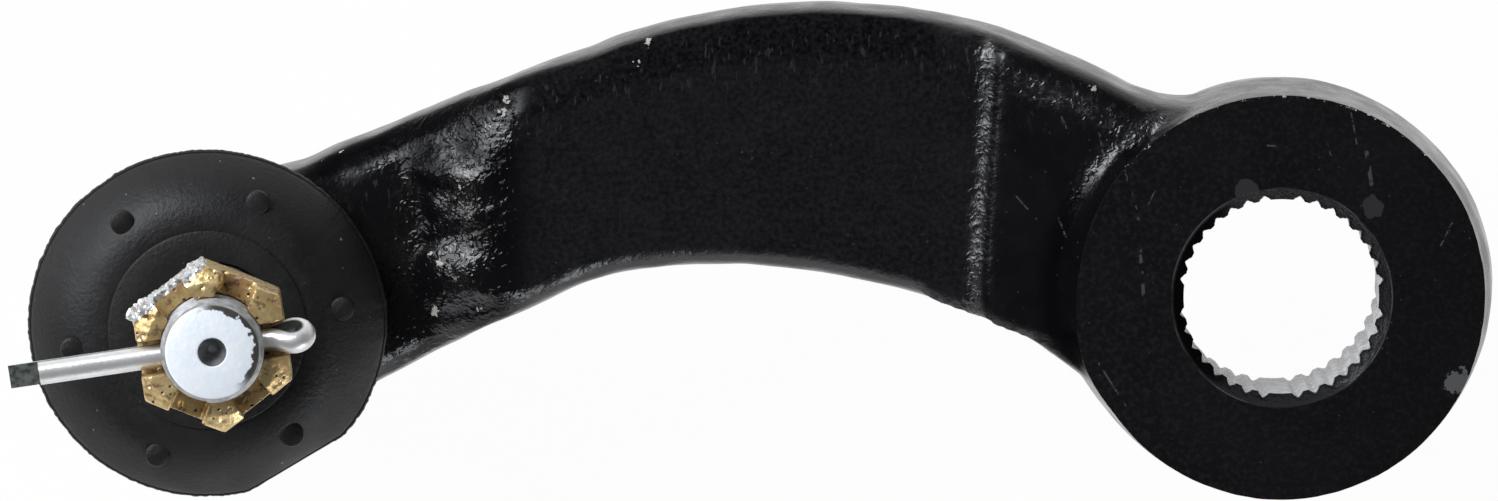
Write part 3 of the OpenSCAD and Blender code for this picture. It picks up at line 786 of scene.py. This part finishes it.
def bore_cutter():
    """The tapered, serrated bore with a chamfer at both ends."""
    chamfer = np.linspace(0, CHAMFER, 5)
    levels = [-SLACK, *chamfer, *BORE_LEVELS, *(HUB_TOP - chamfer[::-1]), HUB_TOP + SLACK]
    back_r = CREST_R + HUB_TOP / (2 * BORE_TAPER)

    def shape(_, z, a):
        r = back_r - z / (2 * BORE_TAPER) + GROOVE * tooth_rise(a)
        return max(r, back_r + CHAMFER - z, CREST_R + CHAMFER - (HUB_TOP - z)), z

    profile = [(0, levels[0])] + [(1, z) for z in levels] + [(0, levels[-1])]
    return outward(lathe("bore", profile, SPLINES * SPLINE_SIDES, shape=shape))


def socket_cutter():
    """The socket from below: hole in the lip, ledge of the cover, cavity, throat and the boot's seat."""
    throat = SOCKET_TOP - THROAT_H
    profile = [(0, ARM_BASE - SLACK), (SWAGE_R, ARM_BASE - SLACK), (SWAGE_R, ARM_BASE + SWAGE_H),
               (LEDGE_R, ARM_BASE + SWAGE_H), (LEDGE_R, PLATE_TOP), (CAVITY_R, PLATE_TOP), (CAVITY_R, throat),
               (THROAT_R, throat), (THROAT_TOP_R, SOCKET_TOP), (SEAT_R, SOCKET_TOP),
               (SEAT_R, SOCKET_TOP + SEAT_H), (0, SOCKET_TOP + SEAT_H)]
    return outward(lathe("socket", profile, SOCKET_SIDES, (STUD_X, 0)))


def slab(low_z, high_z):
    """A block that takes off what stands past a machined face of the hub."""
    size, middle = (2 * SLAB_HALF, 2 * SLAB_HALF, high_z - low_z), (0, 0, (high_z + low_z) / 2)
    bm = bmesh.new()
    bmesh.ops.create_cube(bm, size=1, matrix=Matrix.Translation(middle) @ Matrix.Diagonal((*size, 1)))
    mesh = bpy.data.meshes.new("slab")
    bm.to_mesh(mesh)
    bm.free()
    return mesh


def rough_blank():
    """The CAD arm with a full hub and a filled socket, remeshed as one skin."""
    hub = lathe("hub", [(0, -SLACK), (BACK_R, -SLACK), (MID_R, HUB_TOP / 2), (FACE_R, HUB_TOP + SLACK),
                        (0, HUB_TOP + SLACK)], HUB_SIDES)
    low, high = ARM_BASE + PLUG_INSET, SOCKET_TOP - PLUG_INSET
    plug = lathe("plug", [(0, low), (PLUG_R, low), (PLUG_R, high), (0, high)], PLUG_SIDES, (STUD_X, 0))
    return remeshed(joined(cad_mesh("pitman_arm"), outward(hub), outward(plug)), FORGE_VOXEL, FORGE_SMOOTH)


# Zones of the forging: a zone along the arm has a pair of limits where it begins and a pair where it ends
BAR_X = (-152, -145), (-42.5, -36.5)
DROP_X = (-160, -150), (-141, -122)
RAMP_X = (-143, -131), (-121, -115.5)
CREST_X, CREST_Z = ((-138, -128), (-113, -104)), (16, 20)
NECK_X, NECK_Z = ((-58, -50), (-42, -34)), (20, 24)
BAND_X, BAND_Y = ((-43, -39), (-26.5, -22.5)), ((-10.5, -8), (-6, -4))
EDGE_X, SLOPE_X = ((-121, -114), (-57, -49)), ((-160, -146), (-114, -102))
EDGE_Y = (-9, -6)
STUD_END_X, HUB_SIDE_X = (-117, -107), (-12, -4)
STEP_X, STEP_REACH, BROW_X, BROW_REACH = -45.0, 1.25, -44.0, 6.0
STEP_SLANT, SLANT_FROM_Y, SLANT_RUN = 2.8, 37, 34
FILLET_R, FILLET_REACH, FILLET_Y, FILLET_Z = 34, 2.5, (9, 18), (26.5, 28.5)
CORNER_R, CORNER_Y = ((31.8, 33.2), (36.5, 40)), (10, 18)
SIDE_FROM_R = 36
CROWN_PLACES, CROWN_HALF = np.arange(-152.0, -20.0, 3.0), 2


def slant(co):
    """How far the step at the neck lies further out towards the arm's lower edge."""
    return STEP_SLANT * np.clip((SLANT_FROM_Y - co[:, 1]) / SLANT_RUN, 0, 1)


def zones(co, n):
    """Weights of the ramp, the step, the boss fillet and the sides, which differ in roughness."""
    x, y, z = co.T
    boss = np.hypot(x, y)
    up = rise(n[:, 2], 0.15, 0.5)
    ramp = span(x, *RAMP_X) * up
    step = bell(x - STEP_X + slant(co), STEP_REACH) * up
    fillet = bell(boss - FILLET_R, FILLET_REACH) * fall(x, *HUB_SIDE_X)
    fillet *= rise(z, *FILLET_Z) * rise(y, *FILLET_Y)
    side = fall(np.abs(n[:, 2]), 0.3, 0.7) * (boss > SIDE_FROM_R)
    return ramp, step, fillet, side


def shoulder(co, n):
    """Distance from the upper outline, and the weight of the wrinkled band beside it on the neck."""
    x, y, z = co.T
    crown = [y[np.abs(x - place) < CROWN_HALF].max() for place in CROWN_PLACES]
    upper = y - np.interp(x, CROWN_PLACES, crown)
    band = span(x, *BAND_X) * span(upper, *BAND_Y)
    return upper, band * rise(n[:, 2], 0.5, 0.8) * (z < HUB_TOP - 1)


# How the hammer left the forging: smoothing counts, then heights in millimetres
EASE_MILD, EASE_SOFT, EASE_ROUND = 18, 30, 150
DROP = 1.1
WAVE_STRETCH = (0.3, 1, 0)
SWELL, SWELL_STUD_END = 0.25, 0.3
BULGE, BULGE_ANGLE, BULGE_REACH, BULGE_FROM_R, BULGE_TO_R = 0.9, 0.1, 0.62, 30, 35
CREASE_FROM, CREASE_TO = np.array([-132.5, 10.4]), np.array([-121.3, 14.4])
CREASE_DEPTH, CREASE_REACH = 0.6, 1.1
LOBE, LOBE_R, LOBE_H = np.array([-127.0, 1.8]), 6.0, 0.9
ROOT, ROOT_R = np.array([-33.0, -10.0]), 7.0


def crease(co):
    """1 along the fold that crosses the ramp, falling to 0 beside it."""
    run = CREASE_TO - CREASE_FROM
    t = np.clip(((co[:, :2] - CREASE_FROM) @ run) / (run @ run), 0, 1)
    return bell(np.linalg.norm(co[:, :2] - CREASE_FROM - t[:, None] * run, axis=1), CREASE_REACH)


def eased_points(mesh, co):
    """The bar's edges and the hub's root rounded off, most at the stud's end and least at the step."""
    mild, soft, rounded = (points_of(with_modifiers(mesh, smoothing(count)))
                           for count in (EASE_MILD, EASE_SOFT, EASE_ROUND))
    x, y, _ = co.T
    corner = span(np.hypot(x, y), *CORNER_R) * rise(y, *CORNER_Y) * (x < 0)
    eased = soft + fall(x, *STUD_END_X)[:, None] * (rounded - soft)
    eased = mild + (1 - bell(x - BROW_X, BROW_REACH))[:, None] * (eased - mild)
    return co + np.maximum(span(x, *BAR_X), corner)[:, None] * (eased - co)


def crest_shift(co, n):
    """How far the head of the ramp waves and the step slants, along the arm."""
    x, _, z = co.T
    waves = 6.0 * field(co * WAVE_STRETCH, 11, 9) + 2.5 * field(co * WAVE_STRETCH, 4, 10)
    crest = span(x, *CREST_X) * rise(z, *CREST_Z)
    neck = span(x, *NECK_X) * rise(z, *NECK_Z)
    return crest * rise(n[:, 2], 0.6, 0.9) * waves - neck * rise(n[:, 2], 0.3, 0.6) * slant(co)


def forge_relief(blank, co, n):
    """How far each point stands out of the eased skin: swollen sides, wrinkles, crease and lobe."""
    x, y, z = co.T
    steep = np.abs(n[:, 2])
    upright = fall(steep, 0.3, 0.7)
    left = fall(blank[:, 0], *STUD_END_X)
    swell = span(blank[:, 0], *BAR_X) * (SWELL + SWELL_STUD_END * left) * fall(steep, 0.3, 0.8)
    swell += upright * round_patch(co, ROOT, ROOT_R)
    boss = np.hypot(blank[:, 0], blank[:, 1])
    facing = bell(np.arctan2(y, x) - BULGE_ANGLE, BULGE_REACH) * (boss > BULGE_FROM_R) * (boss < BULGE_TO_R)
    swell += BULGE * upright * facing * rise(HUB_TOP - z, 0.3, 7) * rise(z, 0.5, 7)
    ramp, step, fillet, side = zones(co, n)
    band = shoulder(co, n)[1]
    move = swell + ramp * (LOBE_H * round_patch(co, LOBE, LOBE_R) - CREASE_DEPTH * crease(co))
    # Zone, height, size and seed of each layer of unevenness
    for zone, height, size, seed in ((1.0, 0.10, 9, 1), (1.0, 0.05, 3.2, 2), (ramp, 0.75, 9, 3),
                                     (ramp, 0.24, 3.5, 4), (step, 0.30, 3.5, 5), (fillet, 0.25, 3.0, 6),
                                     (side, 0.16, 6.0, 7), (band, 0.32, 2.4, 8)):
        move += zone * height * field(co, size, seed)
    return move


# Wear of the paint. Chips: place in the plan and reach
CHIPS = ((-119.3, 33.0, 0.9), (-120.0, 31.2, 1.0), (-122.3, 29.1, 0.8), (-130.3, 7.6, 0.9),
         (-131.9, 8.9, 0.7), (-126.8, 19.7, 0.6), (-97.2, 41.5, 0.8), (-99.0, 38.3, 0.7), (-28.6, 33.0, 0.8),
         (-131.3, -0.1, 1.1), (-124.5, 0.3, 0.6), (-145.4, 24.8, 0.8), (-148.2, 23.6, 0.7))
# Glossy ovals on the ramp: place in the plan and half sizes
GLOSSY = ((-126.8, 17.5, 3.8, 5.0), (-126.5, 5.0, 6.0, 5.5), (-121.0, 27.5, 3.0, 3.0))
DULL_BOSS_Y, DULL_WALL_Y = ((-16, -10), (14, 22)), ((-16, -10), (23, 27))
DULL_BOSS_REACH, DULL_WALL_R, DULL_WALL_Z = 3, (33.0, 34.2), 29.5
BROW_DULL, BROW_BAND = 0.55, ((0.0, 0.6), (1.0, 2.0))
RAMP_DULL, RAMP_DULL_MORE, RAMP_DULL_Y = 0.42, 0.2, (19, 24)
SLOPE_DULL = 0.8
PLAIN_ROUGH = 0.15


def dullness(co, n, ramp, upper):
    """Where the paint reflects little: round the boss, along the upper edge, at the step and on the ramp."""
    x, y, z = co.T
    up = n[:, 2]
    boss = np.hypot(x, y)
    hub_side = fall(x, *HUB_SIDE_X)
    root = bell(boss - FILLET_R, DULL_BOSS_REACH) * span(y, *DULL_BOSS_Y) * hub_side * rise(z, *FILLET_Z)
    wall = fall(boss, *DULL_WALL_R) * (up < 0.92) * (z > DULL_WALL_Z) * hub_side * span(y, *DULL_WALL_Y)
    edge = span(x, *EDGE_X) * rise(upper, *EDGE_Y) * rise(up, 0.45, 0.7)
    brow = BROW_DULL * span(x - BROW_X + slant(co), *BROW_BAND) * rise(up, 0.6, 0.8)
    ovals = [bell(x - gx, rx) * bell(y - gy, ry) for gx, gy, rx, ry in GLOSSY]
    glossy = np.clip(1.3 * np.maximum.reduce(ovals) + 0.8 * field(co, 5, 11), 0, 1)
    matt = (RAMP_DULL + RAMP_DULL_MORE * rise(y, *RAMP_DULL_Y)) * ramp * (1 - glossy)
    slope = SLOPE_DULL * rise(n[:, 1], 0.25, 0.5) * rise(up, 0.12, 0.3) * span(x, *SLOPE_X)
    return np.maximum.reduce([root, wall, edge, brow, matt, slope * rise(upper, *EDGE_Y)])


def mark_paint(mesh):
    """Stores the wear of the paint for its material, and the band beside the upper outline that gets a
    painted sheen.
    """
    co, n = points_of(mesh), normals_of(mesh)
    up = n[:, 2]
    ramp, step, fillet, _ = zones(co, n)
    upper, band = shoulder(co, n)
    chips = [round_patch(co, (cx, cy), reach) for cx, cy, reach in CHIPS]
    mark(mesh, "chip", np.maximum.reduce(chips) * (up > 0.25))
    mark(mesh, "rough", np.clip(PLAIN_ROUGH + ramp + step + fillet + band, 0, 1))
    mark(mesh, "streak", rise(upper, -16, -4) * rise(up, 0.85, 0.97) * (co[:, 2] < HUB_TOP - 2))
    mark(mesh, "dull", dullness(co, n, ramp, upper))
    mark(mesh, "haze", band)
    mark(mesh, "crinkle", np.clip(step + fillet + band, 0, 1))


def forged_arm():
    """The rough blank, eased, waved and roughened, then machined and marked for its paint."""
    mesh = rough_blank()
    blank = points_of(mesh)
    co = eased_points(mesh, blank)
    co[:, 1] -= DROP * span(co[:, 0], *DROP_X)
    set_points(mesh, co)
    co[:, 0] += crest_shift(co, normals_of(mesh))
    set_points(mesh, co)
    n = normals_of(mesh)
    set_points(mesh, co + n * forge_relief(blank, co, n)[:, None])
    mesh = cut(mesh, slab(HUB_TOP, HUB_TOP + SLAB_H), slab(-SLAB_H, 0), bore_cutter(), socket_cutter())
    mark_paint(mesh)
    return piece("forged_arm", shade(mesh, 35), BLACK_PAINT, "arm", "pitman_arm")


forged_arm()


# Geometry Nodes: what repeats or follows a path

def node_group(name, inputs):
    """An empty Geometry Nodes tree with named inputs; returns the tree, its inputs and its output."""
    tree = bpy.data.node_groups.new(name, "GeometryNodeTree")
    tree.interface.new_socket("Geometry", in_out="INPUT", socket_type="NodeSocketGeometry")
    for label, kind in inputs:
        tree.interface.new_socket(label, in_out="INPUT", socket_type="NodeSocket" + kind)
    tree.interface.new_socket("Geometry", in_out="OUTPUT", socket_type="NodeSocketGeometry")
    return tree, tree.nodes.new("NodeGroupInput").outputs, tree.nodes.new("NodeGroupOutput").inputs[0]


def grow(tree, kind, settings=None, **sockets):
    return add_node(tree, kind, settings, **sockets).outputs[0]


def finish_tree(tree, geometry, material, out):
    real = grow(tree, "GeometryNodeRealizeInstances", Geometry=geometry)
    tree.links.new(grow(tree, "GeometryNodeSetMaterial", Geometry=real, Material=material), out)
    return tree


def nubs_tree():
    """A ring of nubs joined to the boot."""
    tree, given, out = node_group("nub_ring", [("Nub", "Object"), ("Count", "Int"),
                                               ("Circle radius", "Float"), ("Turn", "Vector"),
                                               ("Centre", "Vector"), ("Material", "Material")])
    nub = add_node(tree, "GeometryNodeObjectInfo", Object=given["Nub"]).outputs["Geometry"]
    ring = grow(tree, "GeometryNodeMeshCircle", Vertices=given["Count"], Radius=given["Circle radius"])
    nubs = grow(tree, "GeometryNodeInstanceOnPoints", Points=ring, Instance=nub)
    nubs = grow(tree, "GeometryNodeTransform", Geometry=nubs, Translation=given["Centre"],
                Rotation=given["Turn"])
    both = grow(tree, "GeometryNodeJoinGeometry", Geometry=[given["Geometry"], nubs])
    return finish_tree(tree, both, given["Material"], out)


def thread_tree():
    """A ridge that winds up the stud."""
    tree, given, out = node_group("thread", [("Radius", "Float"), ("Turns", "Float"), ("Length", "Float"),
                                             ("Depth", "Float"), ("Steps", "Int"), ("Centre", "Vector"),
                                             ("Material", "Material")])
    path = grow(tree, "GeometryNodeCurveSpiral", Resolution=given["Steps"], Rotations=given["Turns"],
                Start_Radius=given["Radius"], End_Radius=given["Radius"], Height=given["Length"])
    path = grow(tree, "GeometryNodeSetCurveNormal", {"mode": "Z_UP"}, Curve=path)
    ridge = grow(tree, "GeometryNodeCurvePrimitiveCircle", Resolution=4, Radius=given["Depth"])
    wire = grow(tree, "GeometryNodeCurveToMesh", Curve=path, Profile_Curve=ridge, Fill_Caps=True)
    wire = grow(tree, "GeometryNodeTransform", Geometry=wire, Translation=given["Centre"])
    both = grow(tree, "GeometryNodeJoinGeometry", Geometry=[given["Geometry"], wire])
    return finish_tree(tree, both, given["Material"], out)


def grown(mesh, tree, **values):
    """The plain mesh that a tree makes of a mesh, its inputs set by their socket identifiers."""
    obj = new_object("seed", mesh)
    mod = obj.modifiers.new("nodes", "NODES")
    mod.node_group = tree
    for item in tree.interface.items_tree:
        key = item.name.replace(" ", "_")
        if item.in_out == "INPUT" and key in values:
            mod[item.identifier] = values[key]
    obj.update_tag()
    return plain_mesh(obj)


# Dust boot: a moulded dome with a ragged lip, flattened on one side, and its ring of nubs

RIM_R = float(boot_high[0] - boot_low[0]) / 2
FOOT_Z, DISC_Z = float(boot_low[2]), float(boot_high[2])
DISC_R, FOOT_R, WALL, GRIP_R = 15.3, 20.0, 2.2, 9.6
LIP_R, LIP_Z = 26.95, FOOT_Z + 4.6
DOME_LOW, DOME_HIGH, DOME_POWER = FOOT_Z + 5.0, DISC_Z - 0.5, 2.2
UNDER_Z, CEILING_Z = FOOT_Z + 3.8, DOME_HIGH - WALL
FLAT_ANGLE, FLAT_HALF, FLAT_REACH = math.radians(-62), 0.6, 0.95
LOOSE_R, RAGGED_IN, RAGGED_RUN = 21, 0.5, 1.6
# Height and fineness of each layer of raggedness on the lip
RAGGED = ((0.26, 34), (0.16, 70), (0.22, 7))
LIP_WAVE, LIP_WAVE_FINE = 0.12, 16
SAG_X, SAG_Y, OVAL = -1.1, -0.8, 0.4
NUB_R, NUB_CIRCLE, NUB_H, NUB_ROOT, NUBS = 1.9, 21.1, 0.9, -1.6, 6
BOOT_SIDES, DOME_RINGS, NUB_SIDES = 360, 26, 32


def dome_z(share):
    """Height of the dome between the inner disc (share 0) and the lip (share 1)."""
    return DOME_LOW + (DOME_HIGH - DOME_LOW) * (1 - share ** DOME_POWER)


def boot_shape(r, z, a):
    """Lets the dome sag to one side, pulls the rim in where it is flattened and roughens its edge."""
    lip = max(0.0, (r - LOOSE_R) / (RIM_R - LOOSE_R))
    loose = float(rise(r, GRIP_R + 1, DISC_R))
    sag = loose * (SAG_X * math.cos(a) + SAG_Y * math.sin(a)) + OVAL * lip * math.cos(2 * a)
    off = (a - FLAT_ANGLE + math.pi) % (2 * math.pi) - math.pi
    if abs(off) < FLAT_HALF:
        r *= 1 - lip * (1 - min(1.0, FLAT_REACH / math.cos(off)))
    way = Vector((math.cos(a), math.sin(a), 0))
    ragged = sum(height * noise.noise(way * fine) for height, fine in RAGGED)
    ragged *= max(0.0, (r - LIP_R + RAGGED_IN) / RAGGED_RUN) * lip
    return r + sag + ragged, z + LIP_WAVE * lip * noise.noise(way * LIP_WAVE_FINE)


def boot_profile():
    """Foot, rounded rim, lip, dome, inner disc, grip and the hollow under the dome."""
    rim = [(RIM_R - 0.7, FOOT_Z + 3.1), (RIM_R - 0.1, FOOT_Z + 3.5), (RIM_R, FOOT_Z + 3.9),
           (RIM_R - 0.15, LIP_Z - 0.15), (RIM_R - 0.3, LIP_Z), (LIP_R + 0.1, LIP_Z)]
    dome = [(DISC_R + (LIP_R - DISC_R) * t, dome_z(t)) for t in np.linspace(1, 0, DOME_RINGS)]
    disc = [(DISC_R + 0.05, DISC_Z - 0.12), (DISC_R - 0.2, DISC_Z), (GRIP_R + 0.8, DISC_Z),
            (GRIP_R + 0.2, DISC_Z - 0.15), (GRIP_R, DISC_Z - 0.5), (GRIP_R, CEILING_Z)]
    under = [(DISC_R + (LIP_R - WALL - DISC_R) * math.cos(a), UNDER_Z + (CEILING_Z - UNDER_Z) * math.sin(a))
             for a in np.linspace(0, math.pi / 2, DOME_RINGS)[::-1]]
    return [(FOOT_R, FOOT_Z), *rim, *dome, *disc, *under, (FOOT_R - WALL, FOOT_Z)]


def dust_boot():
    shell = outward(lathe("boot", boot_profile(), BOOT_SIDES, (STUD_X, 0), boot_shape))
    nub_profile = [(0, NUB_ROOT), (NUB_R, NUB_ROOT), (NUB_R, 0.5), (NUB_R - 0.12, 0.75), (NUB_R - 0.4, NUB_H),
                   (0, NUB_H)]
    nub = new_object("nub", outward(lathe("nub", nub_profile, NUB_SIDES)))
    share = (NUB_CIRCLE - DISC_R) / (LIP_R - DISC_R)
    mesh = grown(shell, nubs_tree(), Nub=nub, Count=NUBS, Circle_radius=NUB_CIRCLE,
                 Turn=(0.0, 0.0, STUD_TURN), Centre=(STUD_X + SAG_X, SAG_Y, dome_z(share)),
                 Material=BOOT_RUBBER)
    bpy.data.objects.remove(nub)
    obj = piece("rubber_boot", shade(mesh, 32), BOOT_RUBBER, None, "dust_boot")
    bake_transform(obj)
    return obj


dust_boot()


# Ball stud with a cut thread

BALL_Z, BALL_R, BALL_RINGS = 9.0, 13.0, 40
NECK_R, NECK_TOP = 7.4, 25
SHANK_R, SHANK_LOW, SHANK_HIGH, SHANK_END_R = 9.3, 28.8, 35, 8.3
THREAD_LOW, THREAD_R, THREAD_PITCH, THREAD_DEPTH = 51.0, 7.94, 1.41, 0.55
THREAD_RUN_IN, THREAD_STEPS = 1.2, 64
TIP_CHAMFER, STUD_SIDES = 0.95, 128


def ball_stud():
    start = math.asin(NECK_R / BALL_R)
    ball = [(BALL_R * math.sin(a), BALL_Z - BALL_R * math.cos(a))
            for a in np.linspace(0, math.pi - start, BALL_RINGS)]
    core = THREAD_R - THREAD_DEPTH
    tip_r = THREAD_R - TIP_CHAMFER
    shank = [(NECK_R, NECK_TOP), (SHANK_R, SHANK_LOW), (SHANK_R, SHANK_HIGH), (SHANK_END_R, THREAD_LOW),
             (core, THREAD_LOW + 0.4), (core, TIP_Z - TIP_CHAMFER + 0.2)]
    tip = [(tip_r + 0.15, TIP_Z - 0.25), (tip_r, TIP_Z - 0.08), (tip_r - 0.15, TIP_Z)]
    drilling = [(DRILL_R + 0.15, TIP_Z), (DRILL_R, TIP_Z - 0.15), (DRILL_R, TIP_Z - DRILL_R),
                (0.6, TIP_Z - 2 * DRILL_R), (0, TIP_Z - 2 * DRILL_R - 0.2)]
    body = outward(lathe("stud", [*ball, *shank, *tip, *drilling], STUD_SIDES, (STUD_X, 0)))
    length = TIP_Z - TIP_CHAMFER - THREAD_DEPTH - THREAD_LOW - THREAD_RUN_IN
    mesh = grown(body, thread_tree(), Radius=core, Turns=length / THREAD_PITCH, Length=length,
                 Depth=THREAD_DEPTH, Steps=THREAD_STEPS, Centre=(STUD_X, 0.0, THREAD_LOW + THREAD_RUN_IN),
                 Material=PALE_ZINC)
    return piece("threaded_stud", shade(mesh, 30), PALE_ZINC, "stud", "ball_stud")


ball_stud()


# Slotted nut: the CAD shape with rounded edges, pits and one torn side

NUT_VOXEL, NUT_SMOOTH, NUT_HALF = 0.3, 1, 11.4
TORN_ANGLE = STUD_TURN + math.radians(120)
BURR_ANGLE, BURR_REACH = STUD_TURN + math.radians(150), 0.22
TORN_ROUGH, TORN_DEPTH, BURR_H, PIT_DEPTH = 0.95, 0.40, 1.5, 0.9


def slotted_nut():
    mesh = remeshed(cad_mesh("slotted_nut"), NUT_VOXEL, NUT_SMOOTH)
    co, n = points_of(mesh), normals_of(mesh)
    away = np.arctan2(co[:, 1], co[:, 0] - STUD_X)
    side = np.cos(away - TORN_ANGLE) * np.hypot(co[:, 0] - STUD_X, co[:, 1])
    torn = rise(side, NUT_HALF - 1.2, NUT_HALF - 0.4) * rise(co[:, 2], NUT_BASE + 0.5, NUT_BASE + 3)
    corner = bell(away - BURR_ANGLE, BURR_REACH) * torn
    rough = 0.8 * np.abs(field(co, 1.6, 11)) + 0.8 * np.abs(field(co, 0.7, 12))
    pit = np.clip(field(co, 0.9, 13) - 0.33, 0, 1) * rise(n[:, 2], 0.2, 0.5)
    burr = np.clip(field(co, 0.9, 14) + 0.2, 0, 1)
    move = torn * (TORN_ROUGH * rough - TORN_DEPTH) + corner * BURR_H * burr - PIT_DEPTH * pit
    set_points(mesh, co + n * move[:, None])
    mark(mesh, "torn", torn)
    return piece("castle_nut", shade(mesh, 40), YELLOW_ZINC, "stud", "slotted_nut")


slotted_nut()


# Cotter pin: half-round wire folded round an eye

PIN_Z, WIRE_R, SEAM = TIP_Z - 6.5, 1.85, 0.03
SHORT_LEG, LONG_LEG = 26.8, 31.4
EYE_X, EYE_IN, EYE_NECK, EYE_EASE = 12.7, 1.45, 4.2, 1.6
PIN_NECK_X = EYE_X - EYE_NECK
EYE_TWIST, EYE_BEND = math.radians(14), math.radians(18)


def eased_curve(a, b, c, d, count):
    """Points along a cubic curve from a to d."""
    a, b, c, d = (np.array(p) for p in (a, b, c, d))
    t = np.linspace(0, 1, count)[:, None]
    return (1 - t) ** 3 * a + 3 * t * (1 - t) ** 2 * b + 3 * t * t * (1 - t) * c + t ** 3 * d


def leg_points(xs, z):
    return np.stack([xs, np.full(len(xs), z)], 1)


def pin_path():
    """The wire's inner side in its own plane: short leg, round the eye and back along the long leg."""
    top = leg_points(np.linspace(-SHORT_LEG, PIN_NECK_X, 12)[:-1], SEAM)
    over = eased_curve((PIN_NECK_X, SEAM), (PIN_NECK_X + EYE_EASE, SEAM), (EYE_X - EYE_EASE, EYE_IN),
                       (EYE_X, EYE_IN), 14)
    angles = np.linspace(math.pi / 2, -math.pi / 2, 20)[1:-1]
    eye = np.stack([EYE_X + EYE_IN * np.cos(angles), EYE_IN * np.sin(angles)], 1)
    low = leg_points(np.linspace(PIN_NECK_X, -LONG_LEG, 14)[1:], -SEAM)
    return np.concatenate([top, over, eye, over[::-1] * [1, -1], low])


def half_round():
    """The wire's section: a half circle closed by its flat inner side."""
    arc = [(WIRE_R * math.cos(a), WIRE_R * math.sin(a)) for a in np.linspace(0, math.pi, 15)]
    return arc + [(-WIRE_R * 0.6, 0), (0, 0), (WIRE_R * 0.6, 0)]


def swept_wire(path, ring):
    """The section carried along the path, with both ends closed."""
    run = np.gradient(path, axis=0)
    run /= np.linalg.norm(run, axis=1)[:, None]
    out = np.stack([-run[:, 1], run[:, 0]], 1)
    points = [(c[0] + d * o[0], b, c[1] + d * o[1]) for c, o in zip(path, out) for b, d in ring]
    size, count = len(ring), len(path)
    faces = []
    for i in range(count - 1):
        for j in range(size):
            k = (j + 1) % size
            faces.append((i * size + j, i * size + k, (i + 1) * size + k, (i + 1) * size + j))
    faces += [tuple(range(size)), tuple(range((count - 1) * size, count * size))]
    return mesh_from("pin", points, faces)


def cotter_pin():
    path, ring = pin_path(), half_round()
    mesh = swept_wire(path, ring)
    mark(mesh, "inner", np.tile([float(d < 1e-6) for _, d in ring], len(path)))
    mesh = outward(mesh)
    x, y, z = points_of(mesh).T
    lean = EYE_BEND * rise(x, PIN_NECK_X, EYE_X)
    leant_y = y * np.cos(lean) - z * np.sin(lean)
    leant_z = y * np.sin(lean) + z * np.cos(lean)
    set_points(mesh, np.stack([x, leant_y, leant_z], 1))
    mesh.transform(Matrix.Translation((STUD_X, 0, PIN_Z)) @ Matrix.Rotation(STUD_TURN, 4, "Z")
                   @ Matrix.Rotation(EYE_TWIST, 4, "X"))
    return piece("split_pin", shade(mesh, 40), BRIGHT_STEEL, "stud", "cotter_pin")


cotter_pin()
